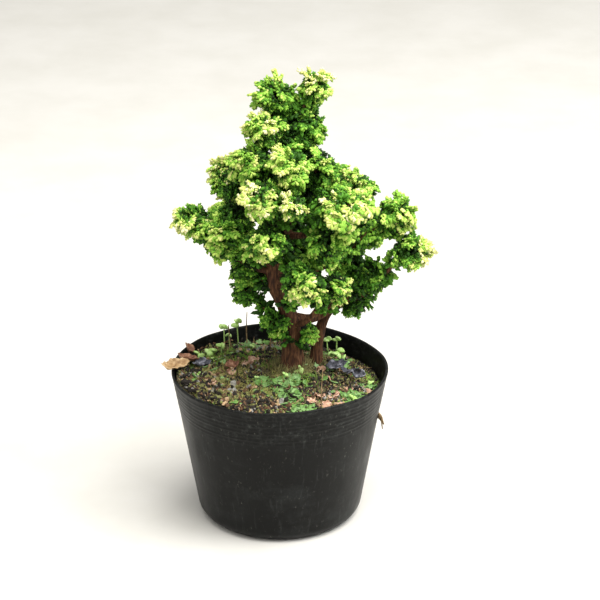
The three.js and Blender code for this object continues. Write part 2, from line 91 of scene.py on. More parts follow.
# Soil: its heaps and lumps are the CAD source's
SOIL_LEVEL = 62
SOIL_FLAT_RADIUS = 22
SOIL_EDGE = 59.5
SOIL_EDGE_SLOPE = 3.5
SOIL_HIGH_BEARING = math.radians(215)
SOIL_GAP = 0.5
SOIL_FLOOR = 1.3
SOIL_RINGS = 88
SOIL_SEGMENTS = 210
MOUND_MIDDLE = (7, 2)
MOUND_RADIUS = 22
MOUND_HEIGHT = 2.6
LUMP_COUNT = 22
LUMP_RING = 35
LUMP_RADIUS = 7.5
LUMP_HEIGHTS = (2.6, 1.2, 2, 0.8)
SOIL_RELIEF = [(0.65, 0.3), (0.55, 0.75), (0.25, 1.7)]  # height and scale of each noise
EARTH = [
    (0.3, (0.008, 0.007, 0.005)),
    (0.46, (0.035, 0.027, 0.014)),
    (0.58, (0.095, 0.078, 0.040)),
    (0.7, (0.13, 0.14, 0.055)),
]

# What lies and grows on the soil, by its place seen from above: patches are a middle and a spread
LITTER_RADIUS = 41.5
TRUNK_CLEARING = 7
FOOT_RING = (4.5, 8)
WALL_HEAP = 2.2  # how far crumbs are heaped up against the wall where the soil is highest
WALL_HEAP_BEARING = (SOIL_HIGH_BEARING - 0.25, 0.55)  # its middle and its spread
WALL_HEAP_INSETS = (-3, 0.4)
MOSS_PATCHES = [
    (-26, 12, 6), (-36, -8, 5), (33, -22, 5), (22, 16, 6), (-31, 18, 6), (3, -8, 5), (-21, 22, 5),
    (28, -27, 4), (-9, -10, 4), (12, -8, 4), (-3, 6, 5), (16, 11, 4), (-14, 18, 5), (-4, -20, 4),
    (-38, 8, 4), (36, 4, 4),
]
FOOT_PATCHES = [(5.6, 0, 8), (2, -5, 5), (11, -3, 5), (-1, 3, 5), (15, 6, 5)]
LIVERWORT_PATCHES = [
    (2, -19, 4), (-1.5, -14, 3), (5, -25, 4), (3, -35, 3.5), (8, -37.5, 3.5), (13, -37, 3), (-7, -10, 3),
    (28.5, -20, 3), (32, -18, 3), (38, -5.5, 2.5), (27, 10, 4), (6, -11, 3), (-13, 29, 4), (11, -31, 4),
]
COARSE_PATCHES = [(-27, -17, 13), (-30, -8, 9), (-16, -26, 10), (-2, -35, 8)]
THREAD_PATCHES = [(-16, -12, 10), (-24, -18, 9), (-8, -22, 8), (-30, -4, 7), (-20, 4, 7), (2, -6, 6)]
PALE_PATCHES = [(-12, 28, 6), (-7, 25, 5), (-16, 24, 5), (21, -24, 6), (35, -8, 5), (14, 14, 4)]
# Crumbs: count, sizes and colours
CRUMBS = {
    "crumbs_dark": (1000, (0.6, 2.4), [(0.35, (0.005, 0.004, 0.003)), (0.7, (0.026, 0.019, 0.012))]),
    "crumbs_brown": (600, (0.5, 1.9), [(0.35, (0.045, 0.022, 0.010)), (0.7, (0.15, 0.078, 0.036))]),
    "crumbs_olive": (700, (0.5, 1.8), [(0.35, (0.060, 0.062, 0.016)), (0.7, (0.25, 0.25, 0.08))]),
    "crumbs_tan": (260, (0.4, 1.8), [(0.35, (0.22, 0.13, 0.06)), (0.7, (0.52, 0.37, 0.22))]),
    "crumbs_grey": (260, (0.4, 1.6), [(0.35, (0.10, 0.095, 0.08)), (0.7, (0.34, 0.33, 0.30))]),
}
PALE_CRUMBS = ("crumbs_tan", "crumbs_grey")
CRUMB_STRETCH = 1.9
CRUMB_FLATNESS = (0.5, 0.9)
CRUMB_KNOCKS = (0.7, 1.15)
CRUMB_LIFT = 0.15
COARSE_SIZES = (1.4, 3.2)
PALE_SIZES = (0.7, 2.2)
MOSS = [(0.35, (0.06, 0.14, 0.015)), (0.7, (0.27, 0.42, 0.06))]
MOSS_THREADS = [(0.35, (0.10, 0.09, 0.02)), (0.7, (0.50, 0.45, 0.14))]
FIBRES = [(0.35, (0.07, 0.065, 0.018)), (0.7, (0.27, 0.24, 0.09))]
BLADE_RADIUS = 0.3
# Liverwort: count and colours
LIVERWORT = {
    "liverwort_mint": (120, [(0.3, (0.10, 0.23, 0.06)), (0.7, (0.26, 0.41, 0.15))]),
    "liverwort_green": (110, [(0.3, (0.06, 0.16, 0.03)), (0.7, (0.17, 0.31, 0.07))]),
}
LOBE_INSET = 0.965  # keeps the lobes clear of the wall
LOBE_SIDES = 14
LOBE_SIZES = (0.9, 2.4)
LOBE_TILT = 0.45
LOBE_RUFFLE = 0.2
# Rings of a small leaf, from its underside over its edge to its top: share of its width, and height
CUPPED = [(0.5, -0.12), (1, 0.1), (0.72, 0.16), (0.25, 0.02)]
DOMED = [(0.6, -0.25), (1, -0.08), (0.86, 0.24), (0.46, 0.48)]
# Place, height and width
SEEDLINGS = [
    (-34.4, 17, 2.5, 4.4), (-30, 19.5, 3, 4.6), (-25, 23, 5, 3.6), (-38, 15.5, 1.5, 3), (-28, 14, 1, 2.6),
    (-24, 33, 10, 3.8), (-18, 35, 11.5, 4), (-21.5, 30, 6, 2.6), (8.8, -4.5, 3.2, 3.6), (2.5, -10, 2, 2.4),
    (23, 14, 3.2, 4.6), (26.5, 16.5, 2.2, 5), (20.5, 19.3, 7, 3.6), (24, 20.5, 8, 3.2), (38.5, -3, 2.4, 2.6),
    (29, -20, 1.6, 3.6), (-33, -5, 1.5, 2.2), (17, 8, 2, 2.4), (-9, -7, 1.4, 2.2), (-12, 24, 2, 2.2),
]
SEEDLING = [(0.3, (0.30, 0.52, 0.10)), (0.7, (0.56, 0.76, 0.30))]
# Place, height and lean towards +X
DRY_STALKS = [(-14, 27, 17, 0), (-4, 23, 10, 1), (17.4, -31, 20, 0.5), (-21, 29, 12, -1)]
STRAW_COUNT = 260
STRAW = [(0.35, (0.10, 0.055, 0.022)), (0.65, (0.36, 0.25, 0.13))]
HUSK_FINGERS = 4  # of the withered stalk that hangs on the pot's wall
HUSK_HEIGHT = 46
# Place and size
CHIPS = [
    (16, -23, 3.2), (22.4, -23, 3.4), (13.5, -27, 2.6), (19, -28, 3), (25, -28, 2.8), (36, -11, 3.2),
    (21, -8, 2.4), (-11, 11, 3), (-20, 6, 3.6), (-20, -2, 3.2), (17, -1, 2.6), (29, -13, 2.4),
    (-27, -14, 2.6), (-14, 9, 2.6),
]
BLUSH = [(0.3, (0.22, 0.10, 0.06)), (0.5, (0.42, 0.24, 0.16)), (0.7, (0.66, 0.48, 0.36))]
# Dry leaves: their colours, then middle, bearing, tilt, length, width, how far the sides roll up, and how
# far the ends rise
DRY_LEAVES = {
    "tan_leaves": (
        [(0.3, (0.17, 0.085, 0.03)), (0.5, (0.42, 0.27, 0.13)), (0.7, (0.68, 0.52, 0.32))],
        [((-43.4, 0, 65.7), 22, 0.25, 12, 7, 0.8, 1.6)],
    ),
    "russet_leaves": (
        [(0.3, (0.07, 0.024, 0.012)), (0.5, (0.2, 0.085, 0.045)), (0.7, (0.4, 0.22, 0.13))],
        [
            ((-38.6, 5.5, 65.8), 150, 0.35, 10, 8, 1.1, 1.6),
            ((-38.5, 17, 65.6), 100, 0.6, 6.5, 5, 1, 1),
            ((-20, 2.5, 64.8), 30, 0.5, 6.5, 4.5, 0.6, 0.8),
        ],
    ),
    "slate_leaves": (
        # The pale stop paints highlights and the darkest stop paints shade in the curls, over the leaves' own
        # dark slate grey.
        [(0.35, (0.010, 0.010, 0.013)), (0.5, (0.05, 0.052, 0.068)), (0.66, (0.30, 0.30, 0.35))],
        [
            ((23.5, 0.5, 65.4), 24, 0.5, 9.5, 5.5, 1.2, 1.6),
            ((29, -2, 65), -28, -0.35, 9.5, 6, -0.9, 1.6),
            ((33.5, -6, 64), -55, 0.4, 7.5, 5, 1.1, 1.2),
            ((-32.5, 3, 65.2), 20, 0.3, 8, 5, 1.1, 1.2),
        ],
    ),
}

# Limbs: their lines and radii are the CAD source's
FOOT_LEVEL = 62.3
CLEARANCE = 0.3
BOUGH_SAG = 0.1
BOUGH_RADIUS = 0.75
BOUGH_GAIN = 0.02
BOUGH_TAPER = 0.5
BOUGH_END = 0.9
BOUGH_RINGS = 26
BOUGH_SIDES = 14
STEM_SIDES = 56
ROOT_RIDGE = 0.3
FLARE_SHARE = 0.75  # the rest of each root flare lies under the litter
STEM_SUNK = 2.5
BARK_RELIEF = 0.12
BARK = [
    (0.3, (0.011, 0.005, 0.003)),
    (0.45, (0.050, 0.019, 0.008)),
    (0.58, (0.118, 0.050, 0.021)),
    (0.72, (0.22, 0.125, 0.060)),
]
TWIG_RADIUS = 0.9
TWIG_TAPER = 0.4
STEMS = {
    "trunk": {
        "line": [
            (5.6, 0, FOOT_LEVEL), (5.4, 0, 75), (4.4, -1, 88), (-2, -1, 104), (-1.6, 0, 114),
            (3.4, 2, 127), (5.4, 2, 144), (6.2, 1, 160), (6, 1, 172),
        ],
        "radius": 4, "tip": 0.9, "flare": 2.4, "flare_height": 6, "roots": 5, "rings": 240,
    },
    "right_stem": {
        "line": [(15.4, 6, FOOT_LEVEL), (15.8, 6, 72), (18.8, 6, 85), (25, 5, 94)],
        "radius": 2.5, "tip": 1.6, "flare": 1.2, "flare_height": 4, "roots": 3, "rings": 90,
    },
}

# The masses of foliage, as in the CAD source: height where the bough or twig leaves its stem; bearing,
# reach and rise to the mass's middle; half width and half height; and how golden its young growth is
ON_TRUNK = {
    "top_right": (171, 352, 8.5, 16.5, 8.5, 9.5, 1.1),
    "top_left": (168, 163, 7, 13, 10.5, 11.5, 0.1),
    "upper_left": (158, 213, 13, 13, 10.5, 10.5, 0.7),
    "upper_right": (156, 347, 5, 13, 11, 12.5, 0.25),
    "back_upper": (160, 102, 12, 10, 10, 10, 0.4),
    "back_top": (150, 86, 16, 11, 10.5, 11, 0.6),
    "mid_left": (145, 218, 19, 14, 12.5, 11.5, 0.1),
    "mid_front": (146, 267, 22, 14, 11.5, 12.5, 0.3),
    "mid_right": (144, 318, 15, 12, 10, 10.5, 0.3),
    "left_under": (101, 166, 13, 8, 9.5, 9.5, 0.05),
    "back_left_low": (88, 117, 25, 13, 10.5, 10, 0.1),
    "low_left": (80, 173, 19, 18.5, 8, 8, 0.15),
    "low_centre": (74, 215, 9, 13.5, 8, 6.5, -0.2),
    "sprig": (75, 322, 10, 8, 3.2, 7.5, 1),
}
ON_TRUNK_BOUGHS = {
    "left_shoulder": (126, 180, 23, 22, 10.5, 11.5, 0.75),
    "right_shoulder": (122, 7, 31, 20, 10, 11, 0.55),
    "back_left_high": (132, 130, 26, 9, 11.5, 11.5, 0.45),
    "back_right_high": (130, 53, 25, 9, 11.5, 11.5, 0.3),
    "front_left": (131, 251, 32, 20, 11, 9.5, 1),
    "front_centre": (126, 274, 34, 23, 8.5, 7.5, 1),
    "front_right": (124, 314, 33, 20, 13.5, 11.5, 0.85),
    "left_tip": (108, 182, 32, 23.5, 12, 7.5, 1.1),
    "left_mid": (112, 200, 23, 15, 12.5, 11.5, 0.5),
    "left_front": (116, 262, 29, 16, 11.5, 8.5, 1),
    "back_left": (106, 124, 31, 15, 12.5, 12, 0.6),
    "back_mid": (116, 80, 32, 9, 13.5, 12.5, 0.7),
    "back_right": (110, 33, 46, 8, 12.5, 12, 0.4),
    "right_upper_tip": (106, 1, 50, 26, 10.5, 11, 0.5),
    "centre_right": (104, 318, 29, 23, 10.5, 10.5, 0.5),
    "low_front": (95, 288, 26, 18.5, 11.5, 10.5, 1.1),
    "back_low": (92, 80, 34, 12, 12, 11.5, 0.5),
    "right_front": (84, 315, 25, 24.5, 9.5, 9.5, 0.9),
    "right_under": (88, 15, 27, 4, 8.5, 8, -0.2),
}
ON_RIGHT_STEM = {
    "right_low": (90, 355, 17, 14, 9.5, 10.5, 0),
    "back_right_low": (86, 64, 22, 14, 11, 10.5, 0.15),
}
ON_RIGHT_STEM_BOUGH = {
    "right_tip": (92, 343, 32, 27, 11.5, 8.5, 1.2),
}
STOUT_BOUGHS = {"right_under": 1.8}  # how many times as stout
FOLIAGE = [
    ("trunk", False, ON_TRUNK),
    ("trunk", True, ON_TRUNK_BOUGHS),
    ("right_stem", False, ON_RIGHT_STEM),
    ("right_stem", True, ON_RIGHT_STEM_BOUGH),
]

# Tufts of the foliage
TUFT_AREA = 66
FEWEST_TUFTS = 10
LEAST_ROOM = 2.5  # where a mass reaches less far, it has no tuft
SHORTEST_TUFT = 3.2
TUFT_JITTER = 0.6
TUFT_ROOT = 0.42
TUFT_LIFT = 0.07  # makes up for the droop of the fronds
TUFT_REACHES = (0.78, 1.1)
LEADING = 0.9  # tufts that point so much the way of the limb reach furthest
WALLED = 0.85  # tufts that a neighbour keeps to less than this share of their reach cross its wall a little
WALL_CROSSING = 1.3
TUFT_TWIG_RADII = (0.52, 0.32)
TUFT_TWIG_SAG = 0.08
# Leaf tones paint in light and shade: tufts that lie open to the sky and face out and up get lighter tones,
# crowded ones darker.
# Steps at which the way outwards and the way up are tried for other masses, and the weight of each way
OUTWARD_STEPS = (2, 5, 9, 14)
UPWARD_STEPS = (4, 9, 15, 22)
OUTWARD_WEIGHT = 0.4
UPWARD_WEIGHT = 0.6
SHADED = 0.3  # tufts that are less open are plain
CROWN_CORE = np.array([4.0, 0.0, 128.0])
SUN_WEIGHTS = (0.75, 0.15, 0.1)  # of any tuft, one that faces away from the core, and one that faces up
DARKEST_TONE = 0.6
SUN_GAIN = 2.45
TUFT_VARIETY = 0.35
GOLD_FACING = (-0.25, 0.8)
GOLD_VARIETY = (0.4, 1.15)
GOLD_LIFT = 1.2
DULL_GAIN = 2  # how many tones a mass with a gold of -1 is darker

# Fronds of a tuft: how far each droops from the way outwards, its length and how likely it is
FRONDS = [((12, 58), 1, 1), ((-38, -8), 0.72, 0.7)]
FROND_TWIST = 0.5
FROND_BEND = 0.22
FROND_STRETCH = 1.12
# A frond's foot is painted darker than its end: partly its young growth being lighter, partly painted shade
# under the fronds above.
FROND_FADE = 1.5  # how many tones the end of a frond is lighter than its foot
FROND_FADE_FROM = 0.3
FROND_VARIETY = 0.42
SPRAY_WAVER = 8  # degrees
SPRAY_DIP = 0.14
SPRAY_ROLL = 0.3
SPRAY_ROLL_VARIETY = 0.25
SPRAY_SIZES = (0.88, 1.12)
# Sprays of a frond: where each is rooted, its side, its turn from the frond's axis and its length
FROND_SPRAYS = [
    (0.04, 1, 64, 0.58),
    (0.12, -1, 60, 0.58),
    (0.32, 1, 42, 0.56),
    (0.38, -1, 40, 0.56),
    (0.44, 0, 0, 0.6),
]
SHADED_SPRAYS = [(0.1, 1, 50, 0.7), (0.1, -1, 50, 0.7), (0.3, 0, 0, 0.7)]
# Inner sprays are painted darker than the tufts at the same place, as painted shade inside each mass.
INNER_AREA = 48
INNER_ROOT = 0.2
INNER_REACH = 0.74
INNER_WAVER = 0.5
INNER_SHADE = 0.34  # the tone of an inner spray as a share of a tuft's tone at the same place

# Sprays along the limbs
CLOTHED_STEP = 3.6
CLOTHED_FROM = 0.3  # the share of a limb that is bare, and the same for those along which wood or sky shows
BARE_SHARES = {
    "back_left_low": 0.65,
    "front_centre": 0.75,
    "front_right": 0.6,
    "right_under": 0.85,
    "right_front": 0.75,
}
CLOTHED_TO = 0.98
CLOTHED_LENGTHS = (4.4, 6.6)
# Sprays nearer the trunk are capped to darker tones, as painted shade in the crown's inside.
CLOTHED_SHARES = (0.3, 0.85)  # of a limb, where its sprays have the darkest and the lightest of these tones
CLOTHED_TONES = (0.7, 2.6)
CLOTHED_PROBE = 6  # how far out the light on such a spray is taken
CLOTHED_TRUNK = 141  # the height from which the trunk itself is clothed, and the same for its back
CLOTHED_BACK = 112
TRUNK_FROND_STEP = 1.9
TRUNK_FROND = 12
# Fronds round the trunk are capped to a dark tone, as painted shade.
TRUNK_TONE = 1.2

# Fingers of a spray
SPRAY_SPREAD = math.radians(60)
SPRAY_CUP = 0.05
# A spray's foot is painted darker than its tips: partly its young growth being lighter, partly painted shade
# in the crevices.
SPRAY_FADE = 2.7  # how many tones the tips of a spray are lighter than its foot
SPRAY_FADE_FROM = 0.6
GOLD_FADE = 3.4  # the same for the tips of wholly golden sprays, on top of that
SIDE_BRANCHLET = 0.8
SIDE_BRANCHLET_ROOT = 0.08
BRANCHLET_WAVER = 0.14
BRANCHLET_SIZES = (0.85, 1.05)
FINGER_RADIUS = 0.142
FINGER_VARIETY = 0.38
FINGER_SIZES = (0.85, 1.12)
FINGER_WAVER = 0.12
FINGER_RISE = 0.16
FINGER_FLATNESS = 0.85
FINGER_BEND = 0.16
# Along a branchlet: where a finger is rooted, its side, its length and its angle
SIDE_FINGERS = [(0.1, 0, 0.9, 0), (0.34, 1, 0.5, 58), (0.48, -1, 0.46, 58)]
MIDDLE_FINGERS = SIDE_FINGERS + [(0.64, 1, 0.4, 52), (0.74, -1, 0.34, 50)]
BRANCHLETS = [(-1, SIDE_FINGERS), (0, MIDDLE_FINGERS), (1, SIDE_FINGERS)]
# Along a finger: each ring's place and width, and where its tip is
FINGER_RINGS = [(0, 0.42), (0.8, 1.12)]
FINGER_TIP = 1.06
FINGER_SIDES = 4
INNER_SIDES = 3
PIECE_TRIANGLES = 190000
LEAF_ROUGHNESS = 0.55
LEAF_SPECULAR = 0.15
# Tones of the leaves, from the painted shade of the shaded inside to the cream tips; a finger's tone paints
# in its light and shade as well as its own colour
LEAF_TONES = {
    "shade": (0.007, 0.020, 0.003),
    "deep": (0.020, 0.066, 0.006),
    "green": (0.062, 0.185, 0.014),
    "fresh": (0.195, 0.385, 0.042),
    "lime": (0.380, 0.535, 0.100),
    "yellow": (0.560, 0.595, 0.185),
    "cream": (0.690, 0.675, 0.360),
}

# Stage
FLOOR_SIZE = 3000
FLOOR = [(0.35, (0.55, 0.54, 0.505)), (0.65, (0.59, 0.58, 0.55))]
SKY_COLOUR = (1.0, 0.99, 0.96, 1)
SKY_STRENGTH = 0.5
LIT_POINT = (8, 0, 100)
# Area lights: place, size, energy and colour
LIGHTS = {
    "key": ((300, -160, 1080), 1100, 30, (1.0, 0.98, 0.94)),
    "front": ((-300, -700, 750), 600, 3, (1.0, 0.99, 0.97)),
    "side": ((640, -240, 560), 420, 4, (0.96, 0.98, 1.0)),
}
CAMERA_PLACE = (8.585, -888.9, 481.3)
CAMERA_TILT = 66.54
CAMERA_LENS = 141
CAMERA_SENSOR = 36


# Vectors, lines and meshes


def unit(vectors):
    return vectors / np.linalg.norm(vectors, axis=-1, keepdims=True)


def smoothstep(value, low, high):
    share = np.clip((value - low) / (high - low), 0, 1)
    return share * share * (3 - 2 * share)


def circle(count):
    """Bearings in radians, evenly round a circle."""
    return np.arange(count) * math.tau / count


def from_above(radius, bearing):
    """Places seen from above, by their distance from the middle and their bearing in radians."""
    return np.column_stack([radius * np.cos(bearing), radius * np.sin(bearing)])


def noise_at(points, scale, seed):
    """Smooth noise from -1 to 1 at each point."""
    shift = Vector([step * seed for step in NOISE_STEPS])
    return np.array([noise.noise(Vector(point) * scale + shift) for point in points])


def length_of(line):
    return np.linalg.norm(np.diff(line, axis=0), axis=1).sum()


def even_line(points, count):
    """Count points at even spacing along a broken line."""
    steps = np.linalg.norm(np.diff(points, axis=0), axis=1)
    along = np.concatenate([[0], np.cumsum(steps)])
    wanted = np.linspace(0, along[-1], count)
    return np.stack([np.interp(wanted, along, points[:, axis]) for axis in range(3)], axis=1)


def smooth_line(points, count):
    """Count points at even spacing along a centripetal Catmull-Rom line."""
    points = np.array(points, float)
    first = 2 * points[0] - points[1]
    last = 2 * points[-1] - points[-2]
    ends = np.vstack([first, points, last])
    share = np.linspace(0, 1, 60)[:, None]
    traced = []
    for before, start, end, after in zip(ends, ends[1:], ends[2:], ends[3:]):
        gap_before = math.sqrt(np.linalg.norm(start - before))
        gap = math.sqrt(np.linalg.norm(end - start))
        gap_after = math.sqrt(np.linalg.norm(after - end))
        leave = (start - before) / gap_before - (end - before) / (gap_before + gap) + (end - start) / gap
        arrive = (end - start) / gap - (after - start) / (gap + gap_after) + (after - end) / gap_after
        leave *= gap
        arrive *= gap
        square = -3 * start + 3 * end - 2 * leave - arrive
        cube = 2 * start - 2 * end + leave + arrive
        traced.append(start + leave * share + square * share**2 + cube * share**3)
    return even_line(np.concatenate(traced), count)


def across(direction):
    """Some unit vector at a right angle to a direction."""
    other = UP if abs(direction[2]) < 0.9 else RIGHT
    return unit(np.cross(direction, other))


def turn_about(vectors, axis, angle):
    """Vectors turned about a unit axis by an angle in radians."""
    along = np.multiply.outer(vectors @ axis, axis)
    cosine = math.cos(angle)
    return vectors * cosine + np.cross(axis, vectors) * math.sin(angle) + along * (1 - cosine)


class Shape:
    """Vertices and triangles gathered into one joined piece."""

    def __init__(self):
        self.vertices = []
        self.faces = []
        self.count = 0

    def add(self, vertices, faces):
        self.vertices.append(np.asarray(vertices, float))
        self.faces.append(np.asarray(faces, int) + self.count)
        self.count += len(vertices)

    def add_copies(self, parts, faces):
        """Many parts that have the same faces. Parts has a row of points for each."""
        shifts = np.arange(len(parts))[:, None, None] * parts.shape[1]
        self.add(parts.reshape(-1, 3), (faces + shifts).reshape(-1, 3))


def triangles(*corners):
    """Two triangles for each quad, whose corners are four arrays of indices."""
    a, b, c, d = [np.ravel(corner) for corner in corners]
    return np.column_stack([a, b, c, a, c, d]).reshape(-1, 3)


def ring_faces(rings, sides):
    """Triangles of a grid of rings, each closed on itself."""
    low = np.arange((rings - 1) * sides).reshape(-1, sides)
    low_next = np.roll(low, -1, axis=1)
    return triangles(low, low_next, low_next + sides, low + sides)


def capped_rings(vertices, rings, sides):
    """A closed mesh of rings, with a middle point at each end."""
    first = vertices[:sides].mean(axis=0)
    last = vertices[-sides:].mean(axis=0)
    foot = rings * sides
    side = np.arange(sides)
    after = np.roll(side, -1)
    low = np.column_stack([after, side, np.full(sides, foot)])
    high = np.column_stack([foot - sides + side, foot - sides + after, np.full(sides, foot + 1)])
    return np.vstack([vertices, first, last]), np.concatenate([ring_faces(rings, sides), low, high])


def tube(line, radii):
    """A closed tube. Radii has a row for each point of the line and a column for each side."""
    rings, sides = radii.shape
    tangents = unit(np.gradient(line, axis=0))
    normal = across(tangents[0])
    angles = circle(sides)
    vertices = []
    for middle, tangent, widths in zip(line, tangents, radii):
        normal = unit(normal - tangent * (normal @ tangent))
        side = np.cross(tangent, normal)
        outward = np.outer(np.cos(angles), normal) + np.outer(np.sin(angles), side)
        vertices.append(middle + outward * widths[:, None])
    return capped_rings(np.concatenate(vertices), rings, sides)


def even_tube(line, start, end, sides):
    """A tube that tapers evenly from one radius to another."""
    radii = np.linspace(start, end, len(line))
    return tube(line, np.repeat(radii[:, None], sides, axis=1))


def make_piece(name, shape, material, smooth=True):
    """A joined mesh that rides on the part's one body."""
    vertices = np.concatenate(shape.vertices) * MM
    faces = np.concatenate(shape.faces)
    mesh = bpy.data.meshes.new(name)
    mesh.vertices.add(len(vertices))
    mesh.vertices.foreach_set("co", vertices.astype(np.float32).ravel())
    mesh.loops.add(faces.size)
    mesh.loops.foreach_set("vertex_index", faces.astype(np.int32).ravel())
    mesh.polygons.add(len(faces))
    mesh.polygons.foreach_set("loop_start", np.arange(0, faces.size, 3, dtype=np.int32))
    mesh.polygons.foreach_set("use_smooth", np.full(len(faces), smooth))
    mesh.update(calc_edges=True)
    mesh.validate()
    mesh.materials.append(material)
    piece = bpy.data.objects.new(name, mesh)
    bpy.context.scene.collection.objects.link(piece)
    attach(piece, "root")
    return piece


# Materials


class Paint:
    """A node material in the making."""

    def __init__(self, name, roughness, specular):
        self.material = bpy.data.materials.new(name)
        self.material.use_nodes = True
        self.tree = self.material.node_tree
        self.shader = self.tree.nodes["Principled BSDF"].inputs
        self.shader["Roughness"].default_value = roughness
        self.shader["Specular IOR Level"].default_value = specular

    def feed(self, socket, output):
        self.tree.links.new(output, self.shader[socket])

    def node(self, kind, inputs):
        """A new node. Each of its inputs is a value, or another node's output."""
        node = self.tree.nodes.new("ShaderNode" + kind)
        for name, value in inputs.items():
            if isinstance(value, bpy.types.NodeSocket):
                self.tree.links.new(value, node.inputs[name])
            else:
                node.inputs[name].default_value = value
        return node.outputs

    def place(self):
        return self.node("TexCoord", {})["Object"]

    def noise(self, scale, stretch=(1, 1, 1), detail=4, roughness=0.6):
        """A noise in the object's own space. The scale counts its waves in a millimetre."""
        mapped = self.node("Mapping", {"Vector": self.place(), "Scale": stretch})["Vector"]
        grain = {"Vector": mapped, "Scale": scale / MM, "Detail": detail, "Roughness": roughness}
        return self.node("TexNoise", grain)["Fac"]

    def height_share(self, low, high):
        """A share that goes from 0 to 1 between two heights of the object."""
        height = self.node("SeparateXYZ", {"Vector": self.place()})["Z"]
        return self.node("MapRange", {"Value": height, "From Min": low * MM, "From Max": high * MM})["Result"]

    def ramp(self, value, stops):
        """Colours by a value: stops are pairs of place and colour."""
        colour = self.node("ValToRGB", {"Fac": value})["Color"]
        elements = colour.node.color_ramp.elements
        elements.remove(elements[0])
        for index, (place, shade) in enumerate(stops):
            element = elements.new(place) if index else elements[0]
            element.position = place
            element.color = (*shade, 1)
        return colour

    def sum(self, colour, other, share):
        """A colour with a share of another added to it."""
        mixed = self.node("MixRGB", {"Fac": share, "Color1": colour, "Color2": other})["Color"]
        mixed.node.blend_type = "ADD"
        return mixed

    def bump(self, height, depth, strength=0.6):
        relief = {"Height": height, "Distance": depth * MM, "Strength": strength}
        self.feed("Normal", self.node("Bump", relief)["Normal"])


def mottled(name, stops, scale, roughness, bump=0.1, stretch=(1, 1, 1), specular=0.4):
    """A material whose colour follows a noise, with a matching relief."""
    paint = Paint(name, roughness, specular)
    texture = paint.noise(scale, stretch)
    paint.feed("Base Color", paint.ramp(texture, stops))
    paint.bump(texture, bump)
    return paint.material


def pot_material():
    """Black plastic with specks, a film of dust, upright scuff marks that are partly painted streaks of
    reflection, and more dust between the ribs.
    """
    paint = Paint("pot_plastic", roughness=0.45, specular=0.13)
    specks = paint.noise(0.75, stretch=(1, 1, 0.6), detail=3, roughness=0.7)
    film = paint.noise(0.045, stretch=(1, 1, 1.4), detail=8, roughness=0.7)
    # upright scuff marks, partly painted streaks of reflection
    scuffs_and_reflections = paint.noise(0.55, stretch=(1, 1, 0.07), detail=4, roughness=0.65)
    dust = paint.noise(0.3, stretch=(1, 1, 1.5), detail=9, roughness=0.75)
    colour = paint.ramp(specks, POT_SPECKS)
    colour = paint.sum(colour, paint.ramp(film, POT_FILM), 1)
    colour = paint.sum(colour, paint.ramp(scuffs_and_reflections, POT_SCUFFS_AND_REFLECTIONS), 1)
    colour = paint.sum(colour, paint.ramp(dust, RIB_DUST), paint.height_share(*RIB_DUST_HEIGHTS))
    paint.feed("Base Color", colour)
    haze = paint.noise(0.1, stretch=(1, 1, 0.35), detail=6)
    paint.feed("Roughness", paint.ramp(haze, POT_DULLNESS))
    grain = paint.noise(1.6, stretch=(1, 1, 0.5), detail=4)
    paint.bump(grain, depth=0.06, strength=0.4)
    return paint.material


def leaf_material(name, colour):
    paint = Paint("leaf_" + name, LEAF_ROUGHNESS, LEAF_SPECULAR)
    paint.shader["Base Color"].default_value = (*colour, 1)
    return paint.material


# Pot


def wall_radius(height):
    return POT_FOOT_RADIUS + (RIM_RADIUS - POT_FOOT_RADIUS) * height / POT_HEIGHT


def corner_arc(inset, steps):
    """The rounding between the pot's underside and its wall, taken in by an inset."""
    lean = math.atan2(RIM_RADIUS - POT_FOOT_RADIUS, POT_HEIGHT)
    middle = wall_radius(POT_CORNER_RADIUS) - POT_CORNER_RADIUS / math.cos(lean)
    radius = POT_CORNER_RADIUS - inset
    angles = np.linspace(-math.pi / 2, -lean, steps + 1)
    return [(middle + radius * math.cos(a), POT_CORNER_RADIUS + radius * math.sin(a)) for a in angles]


def rib_profile():
    """The plain wall, then the uneven raised rings under the rim, from the lowest up."""
    low = RIB_TOP - (len(RIB_HEIGHTS) - 0.5) * RIB_PITCH
    plain = np.linspace(WALL_FOOT, low - 0.5, num=14)
    points = []
    for height in np.concatenate([plain, np.linspace(low, WALL_TOPS[0], num=66)]):
        place = (height - low) / RIB_PITCH
        rib = int(np.clip(place, 0, len(RIB_HEIGHTS) - 1))
        raised = RIB_HEIGHTS[rib] * (0.5 - 0.5 * math.cos(2 * math.pi * place)) ** 2
        ribbed = 0 < place < len(RIB_HEIGHTS)
        points.append((wall_radius(height) + raised * ribbed, height))
    return points


def ripple(bearings, waves):
    return sum(size * np.sin(count * bearings + phase) for size, count, phase in waves)


